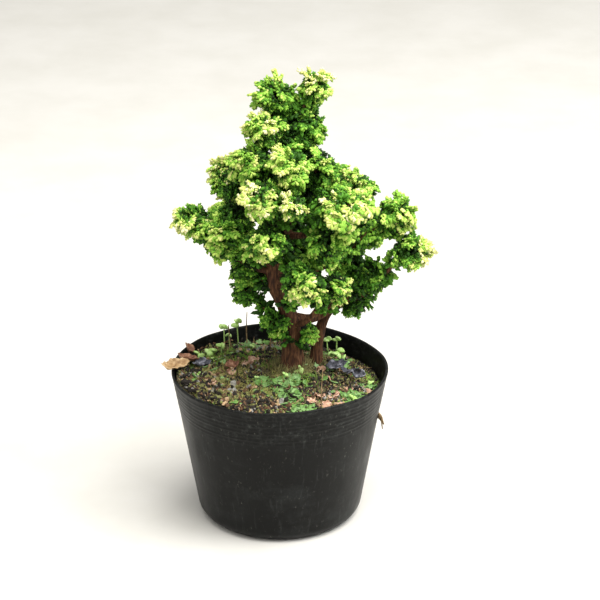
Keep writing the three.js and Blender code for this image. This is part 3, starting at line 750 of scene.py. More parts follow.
def make_pot():
    """A thin flared cup with a rounded foot, ribs under a slightly wavy rim, and drain holes."""
    inner_heights = np.linspace(WALL_TOPS[1], WALL_FOOT, num=24)
    profile = [(radius, 0) for radius in UNDERSIDE_RINGS]
    profile += corner_arc(inset=0, steps=10) + rib_profile() + LIP
    profile += [(wall_radius(height) - POT_WALL, height) for height in inner_heights]
    profile += corner_arc(inset=POT_WALL, steps=6)[::-1]
    profile += [(radius, POT_WALL) for radius in FLOOR_RINGS]
    profile = np.array(profile)
    bearings = circle(POT_SEGMENTS)
    rise = (profile[:, 1] / POT_HEIGHT)[:, None]
    radius = profile[:, :1] + ripple(bearings, RIM_SLACK) * rise**3
    height = profile[:, 1:] + ripple(bearings, RIM_WAVE) * smoothstep(rise, 0.75, 1.0)
    rings = np.stack([radius * np.cos(bearings), radius * np.sin(bearings), height], axis=2)
    shape = Shape()
    shape.add(*capped_rings(rings.reshape(-1, 3), len(profile), POT_SEGMENTS))
    pot = make_piece("pot_shell", shape, pot_material())

    holes = Shape()
    for index in range(DRAIN_COUNT):
        bearing = 2 * math.pi * (index + 0.5) / DRAIN_COUNT
        middle = DRAIN_RING * np.array([math.cos(bearing), math.sin(bearing), 0])
        line = middle + np.array([-3 * UP, 3 * UP])
        holes.add(*even_tube(line, DRAIN_RADIUS, DRAIN_RADIUS, sides=24))
    cutter = make_piece("drain_cutter", holes, pot.data.materials[0])
    cut = pot.modifiers.new("drains", "BOOLEAN")
    cut.object = cutter
    cut.solver = "EXACT"
    bpy.context.view_layer.objects.active = pot
    bpy.ops.object.modifier_apply(modifier=cut.name)
    bpy.data.objects.remove(cutter)
    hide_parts("pot")


# Soil


def soil_edge(bearing):
    """The height of the soil along the wall at a bearing in radians."""
    return SOIL_EDGE + SOIL_EDGE_SLOPE * np.cos(bearing - SOIL_HIGH_BEARING)


def heap_rise(points, middle, radius, height):
    """How high a heap stands at each point: round on top, and level with the soil at its radius."""
    share = np.minimum(1, np.hypot(points[:, 0] - middle[0], points[:, 1] - middle[1]) / radius)
    return height * (1 - share**2) ** 2


def soil_height(points):
    """The height of the soil under its litter: heaped round the stems, lumpy, and falling to the wall."""
    radius = np.hypot(points[:, 0], points[:, 1])
    share = smoothstep(radius, SOIL_FLAT_RADIUS, wall_radius(SOIL_EDGE) - POT_WALL - SOIL_GAP)
    low = soil_edge(np.arctan2(points[:, 1], points[:, 0]))
    height = SOIL_LEVEL + (low - SOIL_LEVEL) * share
    height += heap_rise(points, MOUND_MIDDLE, MOUND_RADIUS, MOUND_HEIGHT)
    for index in range(LUMP_COUNT):
        out = LUMP_RING * math.sqrt((index + 0.5) / LUMP_COUNT)
        bearing = GOLDEN_ANGLE * index
        middle = (out * math.cos(bearing), out * math.sin(bearing))
        height += heap_rise(points, middle, LUMP_RADIUS, LUMP_HEIGHTS[index % len(LUMP_HEIGHTS)])
    return height


def on_soil(places, lift=0):
    """Points on the soil's crumbling top, or so far above it, at places seen from above."""
    flat = np.column_stack([places, np.zeros(len(places))])
    relief = sum(size * noise_at(flat, scale, seed + 1) for seed, (size, scale) in enumerate(SOIL_RELIEF))
    return np.column_stack([places, soil_height(flat) + relief + lift])


def spot(x, y, lift):
    return on_soil(np.array([[x, y]]), lift)[0]


def make_soil():
    """The pot's filling, with a lumpy top."""
    around = from_above(1, circle(SOIL_SEGMENTS))
    gap = POT_WALL + SOIL_GAP
    rings = []
    corner = wall_radius(POT_CORNER_RADIUS) - gap
    for radius, height in ((24, SOIL_FLOOR), (wall_radius(0) - 8, SOIL_FLOOR), (corner, 7)):
        rings.append(np.column_stack([around * radius, np.full(SOIL_SEGMENTS, height)]))
    edge = around * (wall_radius(soil_edge(circle(SOIL_SEGMENTS))) - gap)[:, None]
    for share in np.linspace(1, 0.006, SOIL_RINGS):
        rings.append(on_soil(edge * share))
    shape = Shape()
    shape.add(*capped_rings(np.concatenate(rings), len(rings), SOIL_SEGMENTS))
    soil = make_piece("soil_bed", shape, mottled("earth", EARTH, 0.55, 0.95, 0.5))
    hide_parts("soil")


# Litter and small growth on the soil


def scattered(count):
    """Places spread evenly over the soil, clear of the trunk."""
    radius = np.sqrt(LITTER_DICE.uniform(TRUNK_CLEARING**2, LITTER_RADIUS**2, count))
    return from_above(radius, LITTER_DICE.uniform(0, math.tau, count))


def in_patches(patches, count):
    """Places gathered in patches, each a middle and a spread, kept inside the pot."""
    chosen = np.array(patches)[LITTER_DICE.integers(len(patches), size=count)]
    places = chosen[:, :2] + LITTER_DICE.normal(0, 0.5, (count, 2)) * chosen[:, 2:3]
    radius = np.hypot(places[:, 0], places[:, 1])
    return places * np.minimum(1, LITTER_RADIUS / radius)[:, None]


def round_foot(count):
    """Places close round the foot of the trunk."""
    bearing = LITTER_DICE.uniform(0, math.tau, count)
    return from_above(LITTER_DICE.uniform(*FOOT_RING, count), bearing) + STEMS["trunk"]["line"][0][:2]


def along_wall(count):
    """Places against the wall where the soil is highest."""
    middle, spread = WALL_HEAP_BEARING
    bearing = middle + LITTER_DICE.normal(0, spread, count)
    return from_above(LITTER_RADIUS + LITTER_DICE.uniform(*WALL_HEAP_INSETS, count), bearing)


def random_turns(count):
    """Random rotations, as matrices."""
    first = unit(LITTER_DICE.normal(0, 1, (count, 3)))
    other = LITTER_DICE.normal(0, 1, (count, 3))
    second = unit(other - first * np.sum(first * other, axis=1, keepdims=True))
    return np.stack([first, second, np.cross(first, second)], axis=2)


def icosahedron():
    long = (1 + math.sqrt(5)) / 2
    quarter = [(-1, long, 0), (1, long, 0), (-1, -long, 0), (1, -long, 0)]
    corners = unit(np.array([np.roll(corner, shift) for shift in range(3) for corner in quarter]))
    faces = []
    for trio in itertools.combinations(range(len(corners)), 3):
        a, b, c = corners[list(trio)]
        if min(a @ b, b @ c, c @ a) > 0:
            faces.append(trio if np.cross(b - a, c - a) @ a > 0 else trio[::-1])
    return corners, np.array(faces)


def add_crumbs(shape, places, sizes, stretch, heap=0):
    """Broken grains, each a knocked-about ball, lying on the soil or heaped on it."""
    corners, faces = icosahedron()
    count = len(places)
    size = LITTER_DICE.uniform(*sizes, count)[:, None]
    long = LITTER_DICE.uniform(1, stretch, count)
    flat = LITTER_DICE.uniform(*CRUMB_FLATNESS, count)
    axes = np.column_stack([long, np.ones(count), flat])
    knocks = LITTER_DICE.uniform(*CRUMB_KNOCKS, (count, len(corners), 1))
    grains = corners * knocks * (size * axes)[:, None] / 2
    turned = np.einsum("nij,nkj->nki", random_turns(count), grains)
    lift = CRUMB_LIFT * sizes[1] + heap * LITTER_DICE.random(count)
    shape.add_copies(turned + on_soil(places, lift)[:, None], faces)


def add_blades(shape, places, heights, lean):
    """Moss and fibres: small three-sided points, upright or leaning."""
    count = len(places)
    feet = on_soil(places, -0.2)
    height = LITTER_DICE.uniform(*heights, count)[:, None]
    angles = LITTER_DICE.uniform(0, math.tau, count)
    corners = []
    for corner in range(3):
        turn = angles + corner * 2 * math.pi / 3
        corners.append(feet + BLADE_RADIUS * np.column_stack([from_above(1, turn), np.zeros(count)]))
    way = unit(np.column_stack([LITTER_DICE.normal(0, lean, (count, 2)), np.ones(count)]))
    corners.append(feet + way * height)
    faces = np.array([(0, 1, 3), (1, 2, 3), (2, 0, 3), (0, 2, 1)])
    shape.add_copies(np.stack(corners, axis=1), faces)


def add_lobe(shape, middle, size, tilt, ruffle, profile):
    """One small leaf or lobe with a ruffled outline. The profile has rings of share and height."""
    angles = circle(LOBE_SIDES)
    phases = LITTER_DICE.uniform(0, math.tau, 3)
    lobed = ruffle * np.cos(3 * angles + phases[0]) + ruffle * 0.7 * np.cos(5 * angles + phases[1])
    wave = ruffle * size * np.cos(2 * angles + phases[2])
    rings = []
    for share, lift in profile:
        flat = (share * size * (1 + lobed))[:, None] * from_above(1, angles)
        rings.append(np.column_stack([flat, lift * size + wave * share**2]))
    axis = unit(np.append(LITTER_DICE.normal(0, 1, 2), 0))
    turned = turn_about(np.concatenate(rings), axis, tilt)
    shape.add(*capped_rings(turned + middle, len(rings), LOBE_SIDES))


def add_sheet(shape, grid, thickness):
    """A closed thin sheet from a grid of points."""
    rows, columns = grid.shape[:2]
    count = rows * columns
    normals = unit(np.cross(np.gradient(grid, axis=0), np.gradient(grid, axis=1)))
    points = np.concatenate([grid.reshape(-1, 3), (grid - normals * thickness).reshape(-1, 3)])
    index = np.arange(count).reshape(rows, columns)
    top = triangles(index[:-1, :-1], index[1:, :-1], index[1:, 1:], index[:-1, 1:])
    border = np.array([*index[:, 0], *index[-1, 1:], *index[-2::-1, -1], *index[0, -2:0:-1]])
    after = np.roll(border, -1)
    rim = triangles(border + count, after + count, after, border)
    shape.add(points, np.concatenate([top, top[:, ::-1] + count, rim]))


def curled_leaf(middle, bearing, tilt, length, width, curl, arch, seed):
    """A dry leaf as a grid of points: ragged, rolled along its sides and crumpled."""
    along = np.linspace(-1, 1, 22)[:, None]
    beside = np.linspace(-1, 1, 11)[None, :]
    edge = np.column_stack([along * 2.5, np.zeros((len(along), 2))])
    ragged = 1 + 0.3 * noise_at(edge, 1, seed)[:, None]
    outline = width / 2 * np.clip(1 - np.abs(along) ** 2.4, 0.1, 1) * ragged
    roll = curl * beside
    height = outline * (1 - np.cos(roll)) / curl + arch * along**2
    grid = np.stack([along * length / 2 + 0 * beside, outline * np.sin(roll) / curl, height], axis=2)
    crumple = noise_at(grid.reshape(-1, 3), 0.35, seed + 1).reshape(height.shape)
    fine = noise_at(grid.reshape(-1, 3), 0.9, seed + 2).reshape(height.shape)
    grid[:, :, 2] += 1.1 * crumple + 0.6 * fine
    grid[:, :, 1] += 0.6 * fine
    tilted = turn_about(grid.reshape(-1, 3), RIGHT, tilt)
    turned = turn_about(tilted, UP, math.radians(bearing))
    return (turned + np.array(middle)).reshape(grid.shape)


def make_mottled(name, shape, stops, scale, roughness, bump=0.1, smooth=True):
    make_piece(name, shape, mottled(name, stops, scale, roughness, bump), smooth)


def make_crumbs():
    for name, (count, sizes, stops) in CRUMBS.items():
        shape = Shape()
        add_crumbs(shape, scattered(count), sizes, CRUMB_STRETCH)
        add_crumbs(shape, in_patches(COARSE_PATCHES, count // 6), COARSE_SIZES, stretch=2.2)
        add_crumbs(shape, along_wall(count // 4), sizes, CRUMB_STRETCH, WALL_HEAP)
        if name in PALE_CRUMBS:
            add_crumbs(shape, in_patches(PALE_PATCHES, count // 2), PALE_SIZES, stretch=1.6)
        make_mottled(name, shape, stops, scale=1.3, roughness=0.9, bump=0.2, smooth=False)


def make_small_growth():
    moss = Shape()
    add_blades(moss, in_patches(MOSS_PATCHES, 5200), heights=(0.6, 1.9), lean=0.4)
    add_blades(moss, scattered(2400), heights=(0.5, 1.6), lean=0.5)
    add_blades(moss, along_wall(500), heights=(0.8, 2.4), lean=0.5)
    make_mottled("moss", moss, MOSS, scale=0.4, roughness=0.8)
    threads = Shape()
    add_blades(threads, in_patches(THREAD_PATCHES, 3600), heights=(1.2, 3.2), lean=1.2)
    make_mottled("moss_threads", threads, MOSS_THREADS, scale=0.5, roughness=0.8)
    fibres = Shape()
    add_blades(fibres, scattered(1500), heights=(1.2, 3), lean=1.6)
    add_blades(fibres, in_patches(FOOT_PATCHES, 1600), heights=(1, 3.4), lean=0.7)
    add_blades(fibres, round_foot(700), heights=(2, 6), lean=0.5)
    make_mottled("fibres", fibres, FIBRES, scale=0.5, roughness=0.85)

    for name, (count, stops) in LIVERWORT.items():
        lobes = Shape()
        places = np.concatenate([in_patches(LIVERWORT_PATCHES, count), scattered(count // 3)])
        for middle in on_soil(places * LOBE_INSET, lift=0.6):
            size = LITTER_DICE.uniform(*LOBE_SIZES)
            add_lobe(lobes, middle, size, LITTER_DICE.normal(0, LOBE_TILT), LOBE_RUFFLE, CUPPED)
        make_mottled(name, lobes, stops, scale=0.8, roughness=0.5, bump=0.15)

    seedlings = Shape()
    for x, y, height, width in SEEDLINGS:
        foot = spot(x, y, lift=-0.5)
        top = foot + np.array([LITTER_DICE.normal(0, 0.5), LITTER_DICE.normal(0, 0.5), height])
        seedlings.add(*even_tube(np.linspace(foot, top, 4), start=0.35, end=0.25, sides=5))
        for bearing in LITTER_DICE.uniform(0, 2) + circle(3):
            way = np.array([math.cos(bearing), math.sin(bearing), LITTER_DICE.normal(-0.2, 0.6)])
            size = width * LITTER_DICE.uniform(0.3, 0.46)
            tilt = LITTER_DICE.normal(0, 0.8)
            add_lobe(seedlings, top + 0.28 * width * way, size, tilt, 0.08, DOMED)
    make_mottled("seedlings", seedlings, SEEDLING, scale=0.5, roughness=0.45, bump=0.08)


def make_dry_litter():
    stalks = Shape()
    for x, y, height, lean in DRY_STALKS:
        foot = spot(x, y, lift=-1)
        middle = foot + (0.3 * lean - 0.3, 0.2, height / 2)
        line = smooth_line([foot, middle, foot + (lean, 0, height)], 8)
        stalks.add(*even_tube(line, start=0.34, end=0.2, sides=6))
    for middle in on_soil(scattered(STRAW_COUNT), lift=0.4):
        way = unit(LITTER_DICE.normal(0, 1, 3) * (1, 1, 0.3)) * LITTER_DICE.uniform(1, 3.4)
        bend = LITTER_DICE.normal(0, 0.4, 3) * (1, 1, 0.4)
        line = smooth_line([middle - way, middle + bend, middle + way], 5)
        stalks.add(*even_tube(line, LITTER_DICE.uniform(0.14, 0.28), end=0.1, sides=4))
    for finger in range(HUSK_FINGERS):
        height = HUSK_HEIGHT + 0.5 - 0.8 * finger
        foot = np.array([wall_radius(HUSK_HEIGHT) - 0.4, -6 + 0.5 * finger, height])
        out = LITTER_DICE.uniform(1.4, 2.8)
        aside = LITTER_DICE.uniform(-1.2, 0.4)
        tip = foot + (out, aside, -LITTER_DICE.uniform(3, 6.5))
        line = smooth_line([foot, foot + (1.1, -0.2, -1.2), tip], 6)
        stalks.add(*even_tube(line, start=0.55, end=0.2, sides=6))
    make_mottled("dry_stalks", stalks, STRAW, scale=0.8, roughness=0.85, bump=0.15)

    chips = Shape()
    for number, (x, y, size) in enumerate(CHIPS):
        middle = spot(x, y, lift=0.7)
        bearing = LITTER_DICE.uniform(0, 180)
        tilt = LITTER_DICE.normal(0, 0.35)
        length = 1.9 * size
        width = 1.3 * size
        grid = curled_leaf(middle, bearing, tilt, length, width, curl=0.7, arch=0.3, seed=50 + number)
        add_sheet(chips, grid, thickness=0.4)
    make_mottled("chips", chips, BLUSH, scale=0.6, roughness=0.8, bump=0.25)

    for name, (stops, rows) in DRY_LEAVES.items():
        leaves = Shape()
        for number, row in enumerate(rows):
            add_sheet(leaves, curled_leaf(*row, seed=40 + 7 * number), thickness=0.3)
        make_mottled(name, leaves, stops, scale=0.4, roughness=0.6, bump=0.25)


# Limbs


class Limb:
    """A woody limb: its line, and its radius at a share of the way along it."""

    def __init__(self, points, start, end, count):
        self.line = smooth_line(points, count)
        self.start = start
        self.end = end

    def radius_at(self, share):
        return self.start + (self.end - self.start) * share

    def point_at_height(self, height):
        return np.array([np.interp(height, self.line[:, 2], self.line[:, axis]) for axis in range(3)])


def bark_relief(rings, sides, length, radius, seed):
    """Long, frayed strips of bark round a limb, from -1 to 1."""
    heights = np.linspace(0, length, rings)[:, None]
    twist = 0.03 * heights + circle(sides)
    rise = np.repeat(0.22 * heights, sides, axis=1)
    points = np.stack([np.cos(twist) * radius, np.sin(twist) * radius, rise], axis=2).reshape(-1, 3)
    strips = 1 - 2 * np.abs(noise_at(points, 0.75, seed))
    fibres = noise_at(points * np.array([1, 1, 0.6]), 2.1, seed + 1)
    return (0.7 * strips + 0.45 * fibres).reshape(rings, sides)


def make_stem(name, stem, bark):
    """A stem's mesh with its root flare, sunk a little into the soil. Returns its limb."""
    rings = stem["rings"]
    limb = Limb(stem["line"], stem["radius"], stem["tip"], rings)
    share = np.linspace(0, 1, rings)[:, None]
    height = stem["line"][-1][2] - FOOT_LEVEL
    flared = FLARE_SHARE * stem["flare"] * np.exp(-share * height / stem["flare_height"])
    ridged = 1 + ROOT_RIDGE * np.cos(stem["roots"] * circle(STEM_SIDES))
    radii = limb.radius_at(share) + flared * ridged
    relief = bark_relief(rings, STEM_SIDES, height, stem["radius"], seed=11)
    line = limb.line.copy()
    line[0, 2] -= STEM_SUNK
    shape = Shape()
    shape.add(*tube(line, radii * (1 + BARK_RELIEF * relief)))
    piece = make_piece(name + "_bark", shape, bark)
    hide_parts(name)
    return limb


def make_boughs(masses, bark):
    shape = Shape()
    carried = [mass for mass in masses if mass.bough]
    for index, mass in enumerate(carried):
        line = mass.bough.line
        radii = mass.bough.radius_at(np.linspace(0, 1, BOUGH_RINGS)[:, None])
        relief = bark_relief(BOUGH_RINGS, BOUGH_SIDES, length_of(line), radius=1.2, seed=20 + index)
        shape.add(*tube(line, np.repeat(radii, BOUGH_SIDES, axis=1) * (1 + BARK_RELIEF * relief)))
    piece = make_piece("boughs_bark", shape, bark)
    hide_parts(*["bough_" + mass.name for mass in carried])


# Foliage


class Mass:
    """One mass of foliage: the space it keeps to, its bough and the twig that carries it."""

    def __init__(self, name, stem, on_bough, row):
        leaves, bearing, reach, rise, wide, high, self.gold = row
        self.name = name
        start = stem.point_at_height(leaves)
        bearing = math.radians(bearing)
        way = np.array([reach * math.cos(bearing), reach * math.sin(bearing), rise])
        self.centre = start + way
        self.radii = np.array([wide, wide, high], float)
        self.growth = unit(way)
        self.walls = [(-UP, self.centre[2] - SOIL_LEVEL - 4 * CLEARANCE)]
        self.others = []
        self.bough = self.make_bough(start, way) if on_bough else None
        self.twig_start = self.bough.line[-1] if on_bough else start
        self.twig_radius = self.bough.end if on_bough else TWIG_RADIUS

    def make_bough(self, start, way):
        length = np.linalg.norm(way)
        end = self.centre - self.growth * BOUGH_END * self.ellipsoid_reach(-self.growth)
        middle = (start + end) / 2 - UP * BOUGH_SAG * length
        base = STOUT_BOUGHS.get(self.name, 1) * (BOUGH_RADIUS + BOUGH_GAIN * length)
        return Limb([start, middle, end], base, base * (1 - BOUGH_TAPER), BOUGH_RINGS)

    def ellipsoid_reach(self, direction):
        return 1 / np.linalg.norm(direction / self.radii)

    def reach(self, direction):
        """How far the space reaches in a direction, walls included."""
        reach = self.ellipsoid_reach(direction)
        for normal, distance in self.walls:
            slope = normal @ direction
            if slope > 0:
                reach = min(reach, distance / slope)
        return reach

    def part_from(self, other):
        """Puts up the wall between this space and another, where the two are equally near."""
        way = other.centre - self.centre
        apart = np.linalg.norm(way)
        normal = way / apart
        mine = self.ellipsoid_reach(normal)
        theirs = other.ellipsoid_reach(normal)
        self.walls.append((normal, (apart**2 + mine**2 - theirs**2) / (2 * apart) - CLEARANCE / 2))
        self.others.append(other)

    def holds(self, point):
        return np.linalg.norm((point - self.centre) / self.radii) < 1


def plan_masses(limbs):
    masses = []
    for stem, on_bough, rows in FOLIAGE:
        masses += [Mass(name, limbs[stem], on_bough, row) for name, row in rows.items()]
    for mass, other in itertools.permutations(masses, 2):
        mass.part_from(other)
    return masses


def free_share(tip, way, steps, others):
    """The share of some steps on the way from a tip that no other mass holds."""
    free = [step for step in steps if not any(other.holds(tip + way * step) for other in others)]
    return len(free) / len(steps)


def tuft_tone(tip, direction, likely, others):
    """How light a tuft is (painted light and shade, by how open it lies to the sky), how golden its tips are,
    and how open it lies.

    Young growth that faces away from the crown's core is golden where that is likely.
    """
    free = OUTWARD_WEIGHT * free_share(tip, direction, OUTWARD_STEPS, others)
    free += UPWARD_WEIGHT * free_share(tip, UP, UPWARD_STEPS, others)
    outward = direction @ unit(tip - CROWN_CORE)
    always, facing_out, facing_up = SUN_WEIGHTS
    # painted light: tufts more open to the sky and facing out and up are painted lighter
    sunny = free * (always + facing_out * outward + facing_up * direction[2])
    tone = DARKEST_TONE + SUN_GAIN * sunny + LEAF_DICE.normal(0, TUFT_VARIETY)
    gold = likely * free * smoothstep(outward, *GOLD_FACING) * LEAF_DICE.uniform(*GOLD_VARIETY)
    tone += DULL_GAIN * min(likely, 0)
    return tone + GOLD_LIFT * max(gold, 0), max(gold, 0), free


def golden_directions(mass, area):
    """Directions round a mass's growth by the golden angle, one for each such area of its surface."""
    count = max(FEWEST_TUFTS, round(4 * math.pi * mass.radii.mean() ** 2 / area))
    level = across(mass.growth)
    other_level = np.cross(mass.growth, level)
    for index in range(count):
        height = 1 - 2 * (index + 0.5) / count
        ring = math.sqrt(1 - height * height)
        bearing = GOLDEN_ANGLE * index + TUFT_JITTER * (LEAF_DICE.random() - 0.5)
        flat = math.cos(bearing) * level + math.sin(bearing) * other_level
        yield ring * flat + height * mass.growth


def add_spray(sprays, root, axis, face, length, tone, fade):
    """Notes a spray: its root, axis, face, length, tone, and how many tones its tips are lighter."""
    face = unit(face - axis * (face @ axis))
    sprays.append((*root, *axis, *face, length, tone, fade))


def grow_fronds(root, direction, length, tone, gold, plan, sprays):
    """The fronds of a tuft: flat systems of sprays that droop outwards over each other, as shingles do."""
    rise = np.cross(across(direction), direction)
    rise = turn_about(rise, direction, LEAF_DICE.normal(0, FROND_TWIST))
    for droops, size, chance in FRONDS:
        if LEAF_DICE.random() > chance:
            continue
        droop = math.radians(LEAF_DICE.uniform(*droops))
        axis = direction * math.cos(droop) - rise * math.sin(droop)
        face = direction * math.sin(droop) + rise * math.cos(droop)
        grow_frond(root, axis, face, FROND_STRETCH * size * length, tone, gold, plan, sprays)


def grow_frond(root, axis, face, length, tone, gold, plan, sprays):
    for along, sign, turn, size in plan:
        place = root + axis * along * length - face * FROND_BEND * length * along**2
        heading = turn_about(axis, face, sign * math.radians(turn + LEAF_DICE.normal(0, SPRAY_WAVER)))
        dip = FROND_BEND * (along + size / 2) + LEAF_DICE.normal(0, SPRAY_DIP)
        heading = unit(heading - face * dip)
        roll = sign * SPRAY_ROLL + LEAF_DICE.normal(0, SPRAY_ROLL_VARIETY)
        turned = turn_about(face, heading, roll)
        # partly painted shade: sprays nearer the frond's foot are darker
        lighter = (FROND_FADE + gold) * (along - FROND_FADE_FROM) + LEAF_DICE.normal(0, FROND_VARIETY)
        spray_length = length * size * LEAF_DICE.uniform(*SPRAY_SIZES)
        add_spray(sprays, place, heading, turned, spray_length, tone + lighter, SPRAY_FADE + GOLD_FADE * gold)


def grow_tufts(mass, sprays, inside, twigs):
    """A mass's tufts, each on a fine twig from the twig that carries the mass."""
    for direction in golden_directions(mass, TUFT_AREA):
        reach = mass.reach(direction)
        if reach < LEAST_ROOM:
            continue
        if reach < WALLED * mass.ellipsoid_reach(direction):
            reach *= WALL_CROSSING
        facing = direction @ mass.growth
        reach *= TUFT_REACHES[1] if facing > LEADING else LEAF_DICE.uniform(*TUFT_REACHES)
        tip = mass.centre + direction * reach
        root = mass.centre + direction * reach * TUFT_ROOT + UP * TUFT_LIFT * reach
        start = mass.twig_start + (mass.centre - mass.twig_start) * (0.8 + 0.2 * facing)
        bend = (start + root) / 2 - UP * TUFT_TWIG_SAG * reach
        twigs.append(smooth_line([start, bend, root], 4))
        tone, gold, free = tuft_tone(tip, direction, mass.gold, mass.others)
        length = max(reach * (1 - TUFT_ROOT), SHORTEST_TUFT)
        plan, kind = (FROND_SPRAYS, sprays) if free > SHADED else (SHADED_SPRAYS, inside)
        grow_fronds(root, direction, length, tone, gold, plan, kind)


def grow_inside(mass, sprays):
    """Sprays near a mass's middle, painted dark as painted shade, which close it to the light."""
    for direction in golden_directions(mass, INNER_AREA):
        reach = mass.reach(direction)
        root = mass.centre + direction * reach * INNER_ROOT
        length = reach * (INNER_REACH - INNER_ROOT)
        tone, _, _ = tuft_tone(root + direction * length, direction, mass.gold, mass.others)
        face = across(direction) + LEAF_DICE.normal(0, INNER_WAVER, 3)
        # painted shade: the inner spray gets only a share of the tuft's tone
        add_spray(sprays, root, direction, face, length, INNER_SHADE * tone, SPRAY_FADE)


def clothe(mass, sprays):
    """Short sprays along a mass's limb, to both sides and above it, from where it is no longer bare."""
    line = mass.bough.line if mass.bough else np.linspace(mass.twig_start, mass.centre, 12)
    bare = BARE_SHARES.get(mass.name, CLOTHED_FROM)
    for share in np.arange(bare, CLOTHED_TO, CLOTHED_STEP / length_of(line)):
        place = line[int(share * (len(line) - 1))]
        along = unit(line[-1] - place + 1e-6 * UP)
        aside = unit(np.cross(along, UP + LEAF_DICE.normal(0, 0.5, 3)))
        for sign in (-1, 0, 1):
            lift = LEAF_DICE.normal(0.15, 0.25) if sign else 0.7
            axis = unit(sign * aside + 0.6 * along + lift * UP)
            tone, _, _ = tuft_tone(place + CLOTHED_PROBE * axis, axis, mass.gold, mass.others)
            # painted shade: the nearer the trunk, the darker the tone this spray is capped to
            tone = min(tone, np.interp(share, CLOTHED_SHARES, CLOTHED_TONES))
            face = UP - 0.5 * along * (sign == 0) + LEAF_DICE.normal(0, 0.4, 3)
            add_spray(sprays, place, axis, face, LEAF_DICE.uniform(*CLOTHED_LENGTHS), tone, SPRAY_FADE)


def clothe_trunk(trunk, masses, sprays):
    """Fronds round the upper trunk by the golden angle, capped to a dark tone as painted shade. Lower down
    they clothe only its back.
    """
    for index, height in enumerate(np.arange(CLOTHED_BACK, trunk.line[-1, 2], TRUNK_FROND_STEP)):
        bearing = GOLDEN_ANGLE * index
        if height < CLOTHED_TRUNK and math.sin(bearing) < 0.3:
            continue
        axis = unit(np.array([math.cos(bearing), math.sin(bearing), LEAF_DICE.uniform(-0.1, 0.5)]))
        root = trunk.point_at_height(height)
        tone, _, _ = tuft_tone(root + TRUNK_FROND * axis, axis, 0, masses)
        grow_fronds(root, axis, TRUNK_FROND, min(tone, TRUNK_TONE), 0, FROND_SPRAYS, sprays)


def grow_fingers(sprays):
    """The fingers of every spray, as rows: root, axis, face, length, radius and tone."""
    table = np.array(sprays)
    count = len(table)
    root, axis, face = table[:, 0:3], table[:, 3:6], table[:, 6:9]
    length, tone, fade = table[:, 9], table[:, 10], table[:, 11]
    side = np.cross(face, axis)

    def in_spray(x, y, z):
        return root + axis * x[:, None] + side * y[:, None] + face * z[:, None]

    fingers = []
    for branchlet, plan in BRANCHLETS:
        angle = branchlet * SPRAY_SPREAD + LEAF_DICE.normal(0, BRANCHLET_WAVER, count)
        share = SIDE_BRANCHLET if branchlet else 1
        stretch = length * share * LEAF_DICE.uniform(*BRANCHLET_SIZES, count)
        offset = length * (SIDE_BRANCHLET_ROOT if branchlet else 0)
        for rooted, sign, share, turn in plan:
            heading = angle + sign * math.radians(turn) + LEAF_DICE.normal(0, FINGER_WAVER, count)
            near_x = offset + rooted * stretch * np.cos(angle)
            near_y = rooted * stretch * np.sin(angle)
            size = stretch * share * LEAF_DICE.uniform(*FINGER_SIZES, count)
            far_x = near_x + size * np.cos(heading)
            far_y = near_y + size * np.sin(heading)
            near_z = -SPRAY_CUP * (near_x**2 + near_y**2)
            far_z = -SPRAY_CUP * (far_x**2 + far_y**2)
            far_z += LEAF_DICE.normal(0, FINGER_RISE, count) * size
            near = in_spray(near_x, near_y, near_z)
            way = in_spray(far_x, far_y, far_z) - near
            size = np.linalg.norm(way, axis=1)
            way /= size[:, None]
            out = unit(face - way * np.sum(face * way, axis=1, keepdims=True))
            radius = FINGER_RADIUS * length * LEAF_DICE.uniform(*FINGER_SIZES, count)
            # partly painted shade: fingers nearer a spray's foot are darker
            lighter = fade * (np.hypot(far_x, far_y) / length - SPRAY_FADE_FROM)
            shade = tone + lighter + LEAF_DICE.normal(0, FINGER_VARIETY, count)
            fingers.append(np.column_stack([near, way, out, size, radius, shade]))
    return np.concatenate(fingers)


def finger_parts(fingers, sides):
    """Each finger: a tip, and rings of corners that turn by half a step, as scale leaves do."""
    root, axis, face = fingers[:, 0:3], fingers[:, 3:6], fingers[:, 6:9]
    length, radius = fingers[:, 9:10], fingers[:, 10:11]
    side = np.cross(face, axis)
    corners = []
    for ring, (share, width) in enumerate(FINGER_RINGS):
        middle = root + axis * length * share - face * FINGER_BEND * length * share**2
        for corner in range(sides):
            angle = (corner + ring / 2) * 2 * math.pi / sides
            outward = side * math.cos(angle) + face * FINGER_FLATNESS * math.sin(angle)
            corners.append(middle + outward * radius * width)
    corners.append(root + axis * length * FINGER_TIP - face * FINGER_BEND * length * FINGER_TIP**2)
    faces = []
    for corner in range(sides):
        after = (corner + 1) % sides
        faces += [(corner, after, sides + corner), (after, sides + after, sides + corner)]
        faces.append((sides + corner, sides + after, 2 * sides))
    return np.stack(corners, axis=1), np.array(faces)


def make_leaf_pieces(kind, sprays, sides, materials):
    """The fingers of some sprays, joined by tone into pieces within the limit of triangles."""
    fingers = grow_fingers(sprays)
    parts, faces = finger_parts(fingers, sides)
    tones = np.clip(np.floor(fingers[:, 11]), 0, len(LEAF_TONES) - 1)
    step = PIECE_TRIANGLES // len(faces)
    pieces = []
    for tone, name in enumerate(LEAF_TONES):
        of_tone = parts[tones == tone]
        for number, start in enumerate(range(0, len(of_tone), step)):
            shape = Shape()
            shape.add_copies(of_tone[start : start + step], faces)
            pieces.append(make_piece(f"{kind}_{name}_{number + 1}", shape, materials[name]))
    return pieces


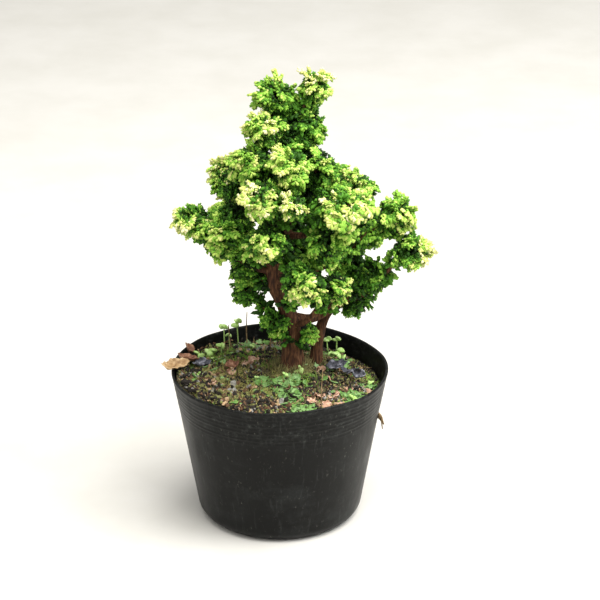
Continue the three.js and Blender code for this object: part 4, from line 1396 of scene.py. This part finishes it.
def make_foliage(masses, trunk, bark):
    sprays = []
    inside = []
    fine_twigs = []
    for mass in masses:
        grow_tufts(mass, sprays, inside, fine_twigs)
        grow_inside(mass, inside)
        clothe(mass, sprays)
    clothe_trunk(trunk, masses, sprays)
    materials = {name: leaf_material(name, colour) for name, colour in LEAF_TONES.items()}
    pieces = make_leaf_pieces("fingers", sprays, FINGER_SIDES, materials)
    make_leaf_pieces("inner", inside, INNER_SIDES, materials)
    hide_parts(*["foliage_" + mass.name for mass in masses])

    twigs = Shape()
    for mass in masses:
        line = np.linspace(mass.twig_start, mass.centre, 6)
        twigs.add(*even_tube(line, mass.twig_radius, mass.twig_radius * (1 - TWIG_TAPER), sides=7))
    for line in fine_twigs:
        twigs.add(*even_tube(line, *TUFT_TWIG_RADII, sides=4))
    make_piece("twigs", twigs, bark)


# Stage


def place_in_scene(name, data, place):
    item = bpy.data.objects.new(name, data)
    item.location = Vector(place) * MM
    bpy.context.scene.collection.objects.link(item)
    return item


def make_stage():
    mesh = bpy.data.meshes.new("floor")
    corners = [(-1, -1, 0), (1, -1, 0), (1, 1, 0), (-1, 1, 0)]
    mesh.from_pydata([Vector(corner) * FLOOR_SIZE * MM for corner in corners], [], [(0, 1, 2, 3)])
    mesh.materials.append(mottled("floor", FLOOR, scale=0.02, roughness=0.7, bump=0.02))
    floor = place_in_scene("floor", mesh, (0, 0, 0))

    world = bpy.data.worlds.new("studio")
    world.use_nodes = True
    sky = world.node_tree.nodes["Background"].inputs
    sky["Color"].default_value = SKY_COLOUR
    sky["Strength"].default_value = SKY_STRENGTH
    bpy.context.scene.world = world
    for name, (place, size, energy, colour) in LIGHTS.items():
        lamp = bpy.data.lights.new(name, "AREA")
        lamp.size = size * MM
        lamp.energy = energy
        lamp.color = colour
        light = place_in_scene(name, lamp, place)
        light.rotation_euler = (Vector(LIT_POINT) - Vector(place)).to_track_quat("-Z", "Y").to_euler()


def make_camera():
    data = bpy.data.cameras.new("camera")
    data.lens = CAMERA_LENS
    data.sensor_width = CAMERA_SENSOR
    data.clip_start = 0.05
    data.clip_end = 20
    camera = place_in_scene("camera", data, CAMERA_PLACE)
    camera.rotation_euler = (math.radians(CAMERA_TILT), 0, 0)
    bpy.context.scene.camera = camera


def main():
    bpy.context.scene.view_settings.view_transform = "Standard"
    bark = mottled("bark", BARK, scale=1.1, roughness=0.85, bump=0.35, stretch=(1, 1, 0.16), specular=0.3)
    make_pot()
    make_soil()
    make_crumbs()
    make_small_growth()
    make_dry_litter()
    limbs = {name: make_stem(name, stem, bark) for name, stem in STEMS.items()}
    masses = plan_masses(limbs)
    make_boughs(masses, bark)
    make_foliage(masses, limbs["trunk"], bark)
    make_stage()
    make_camera()


main()
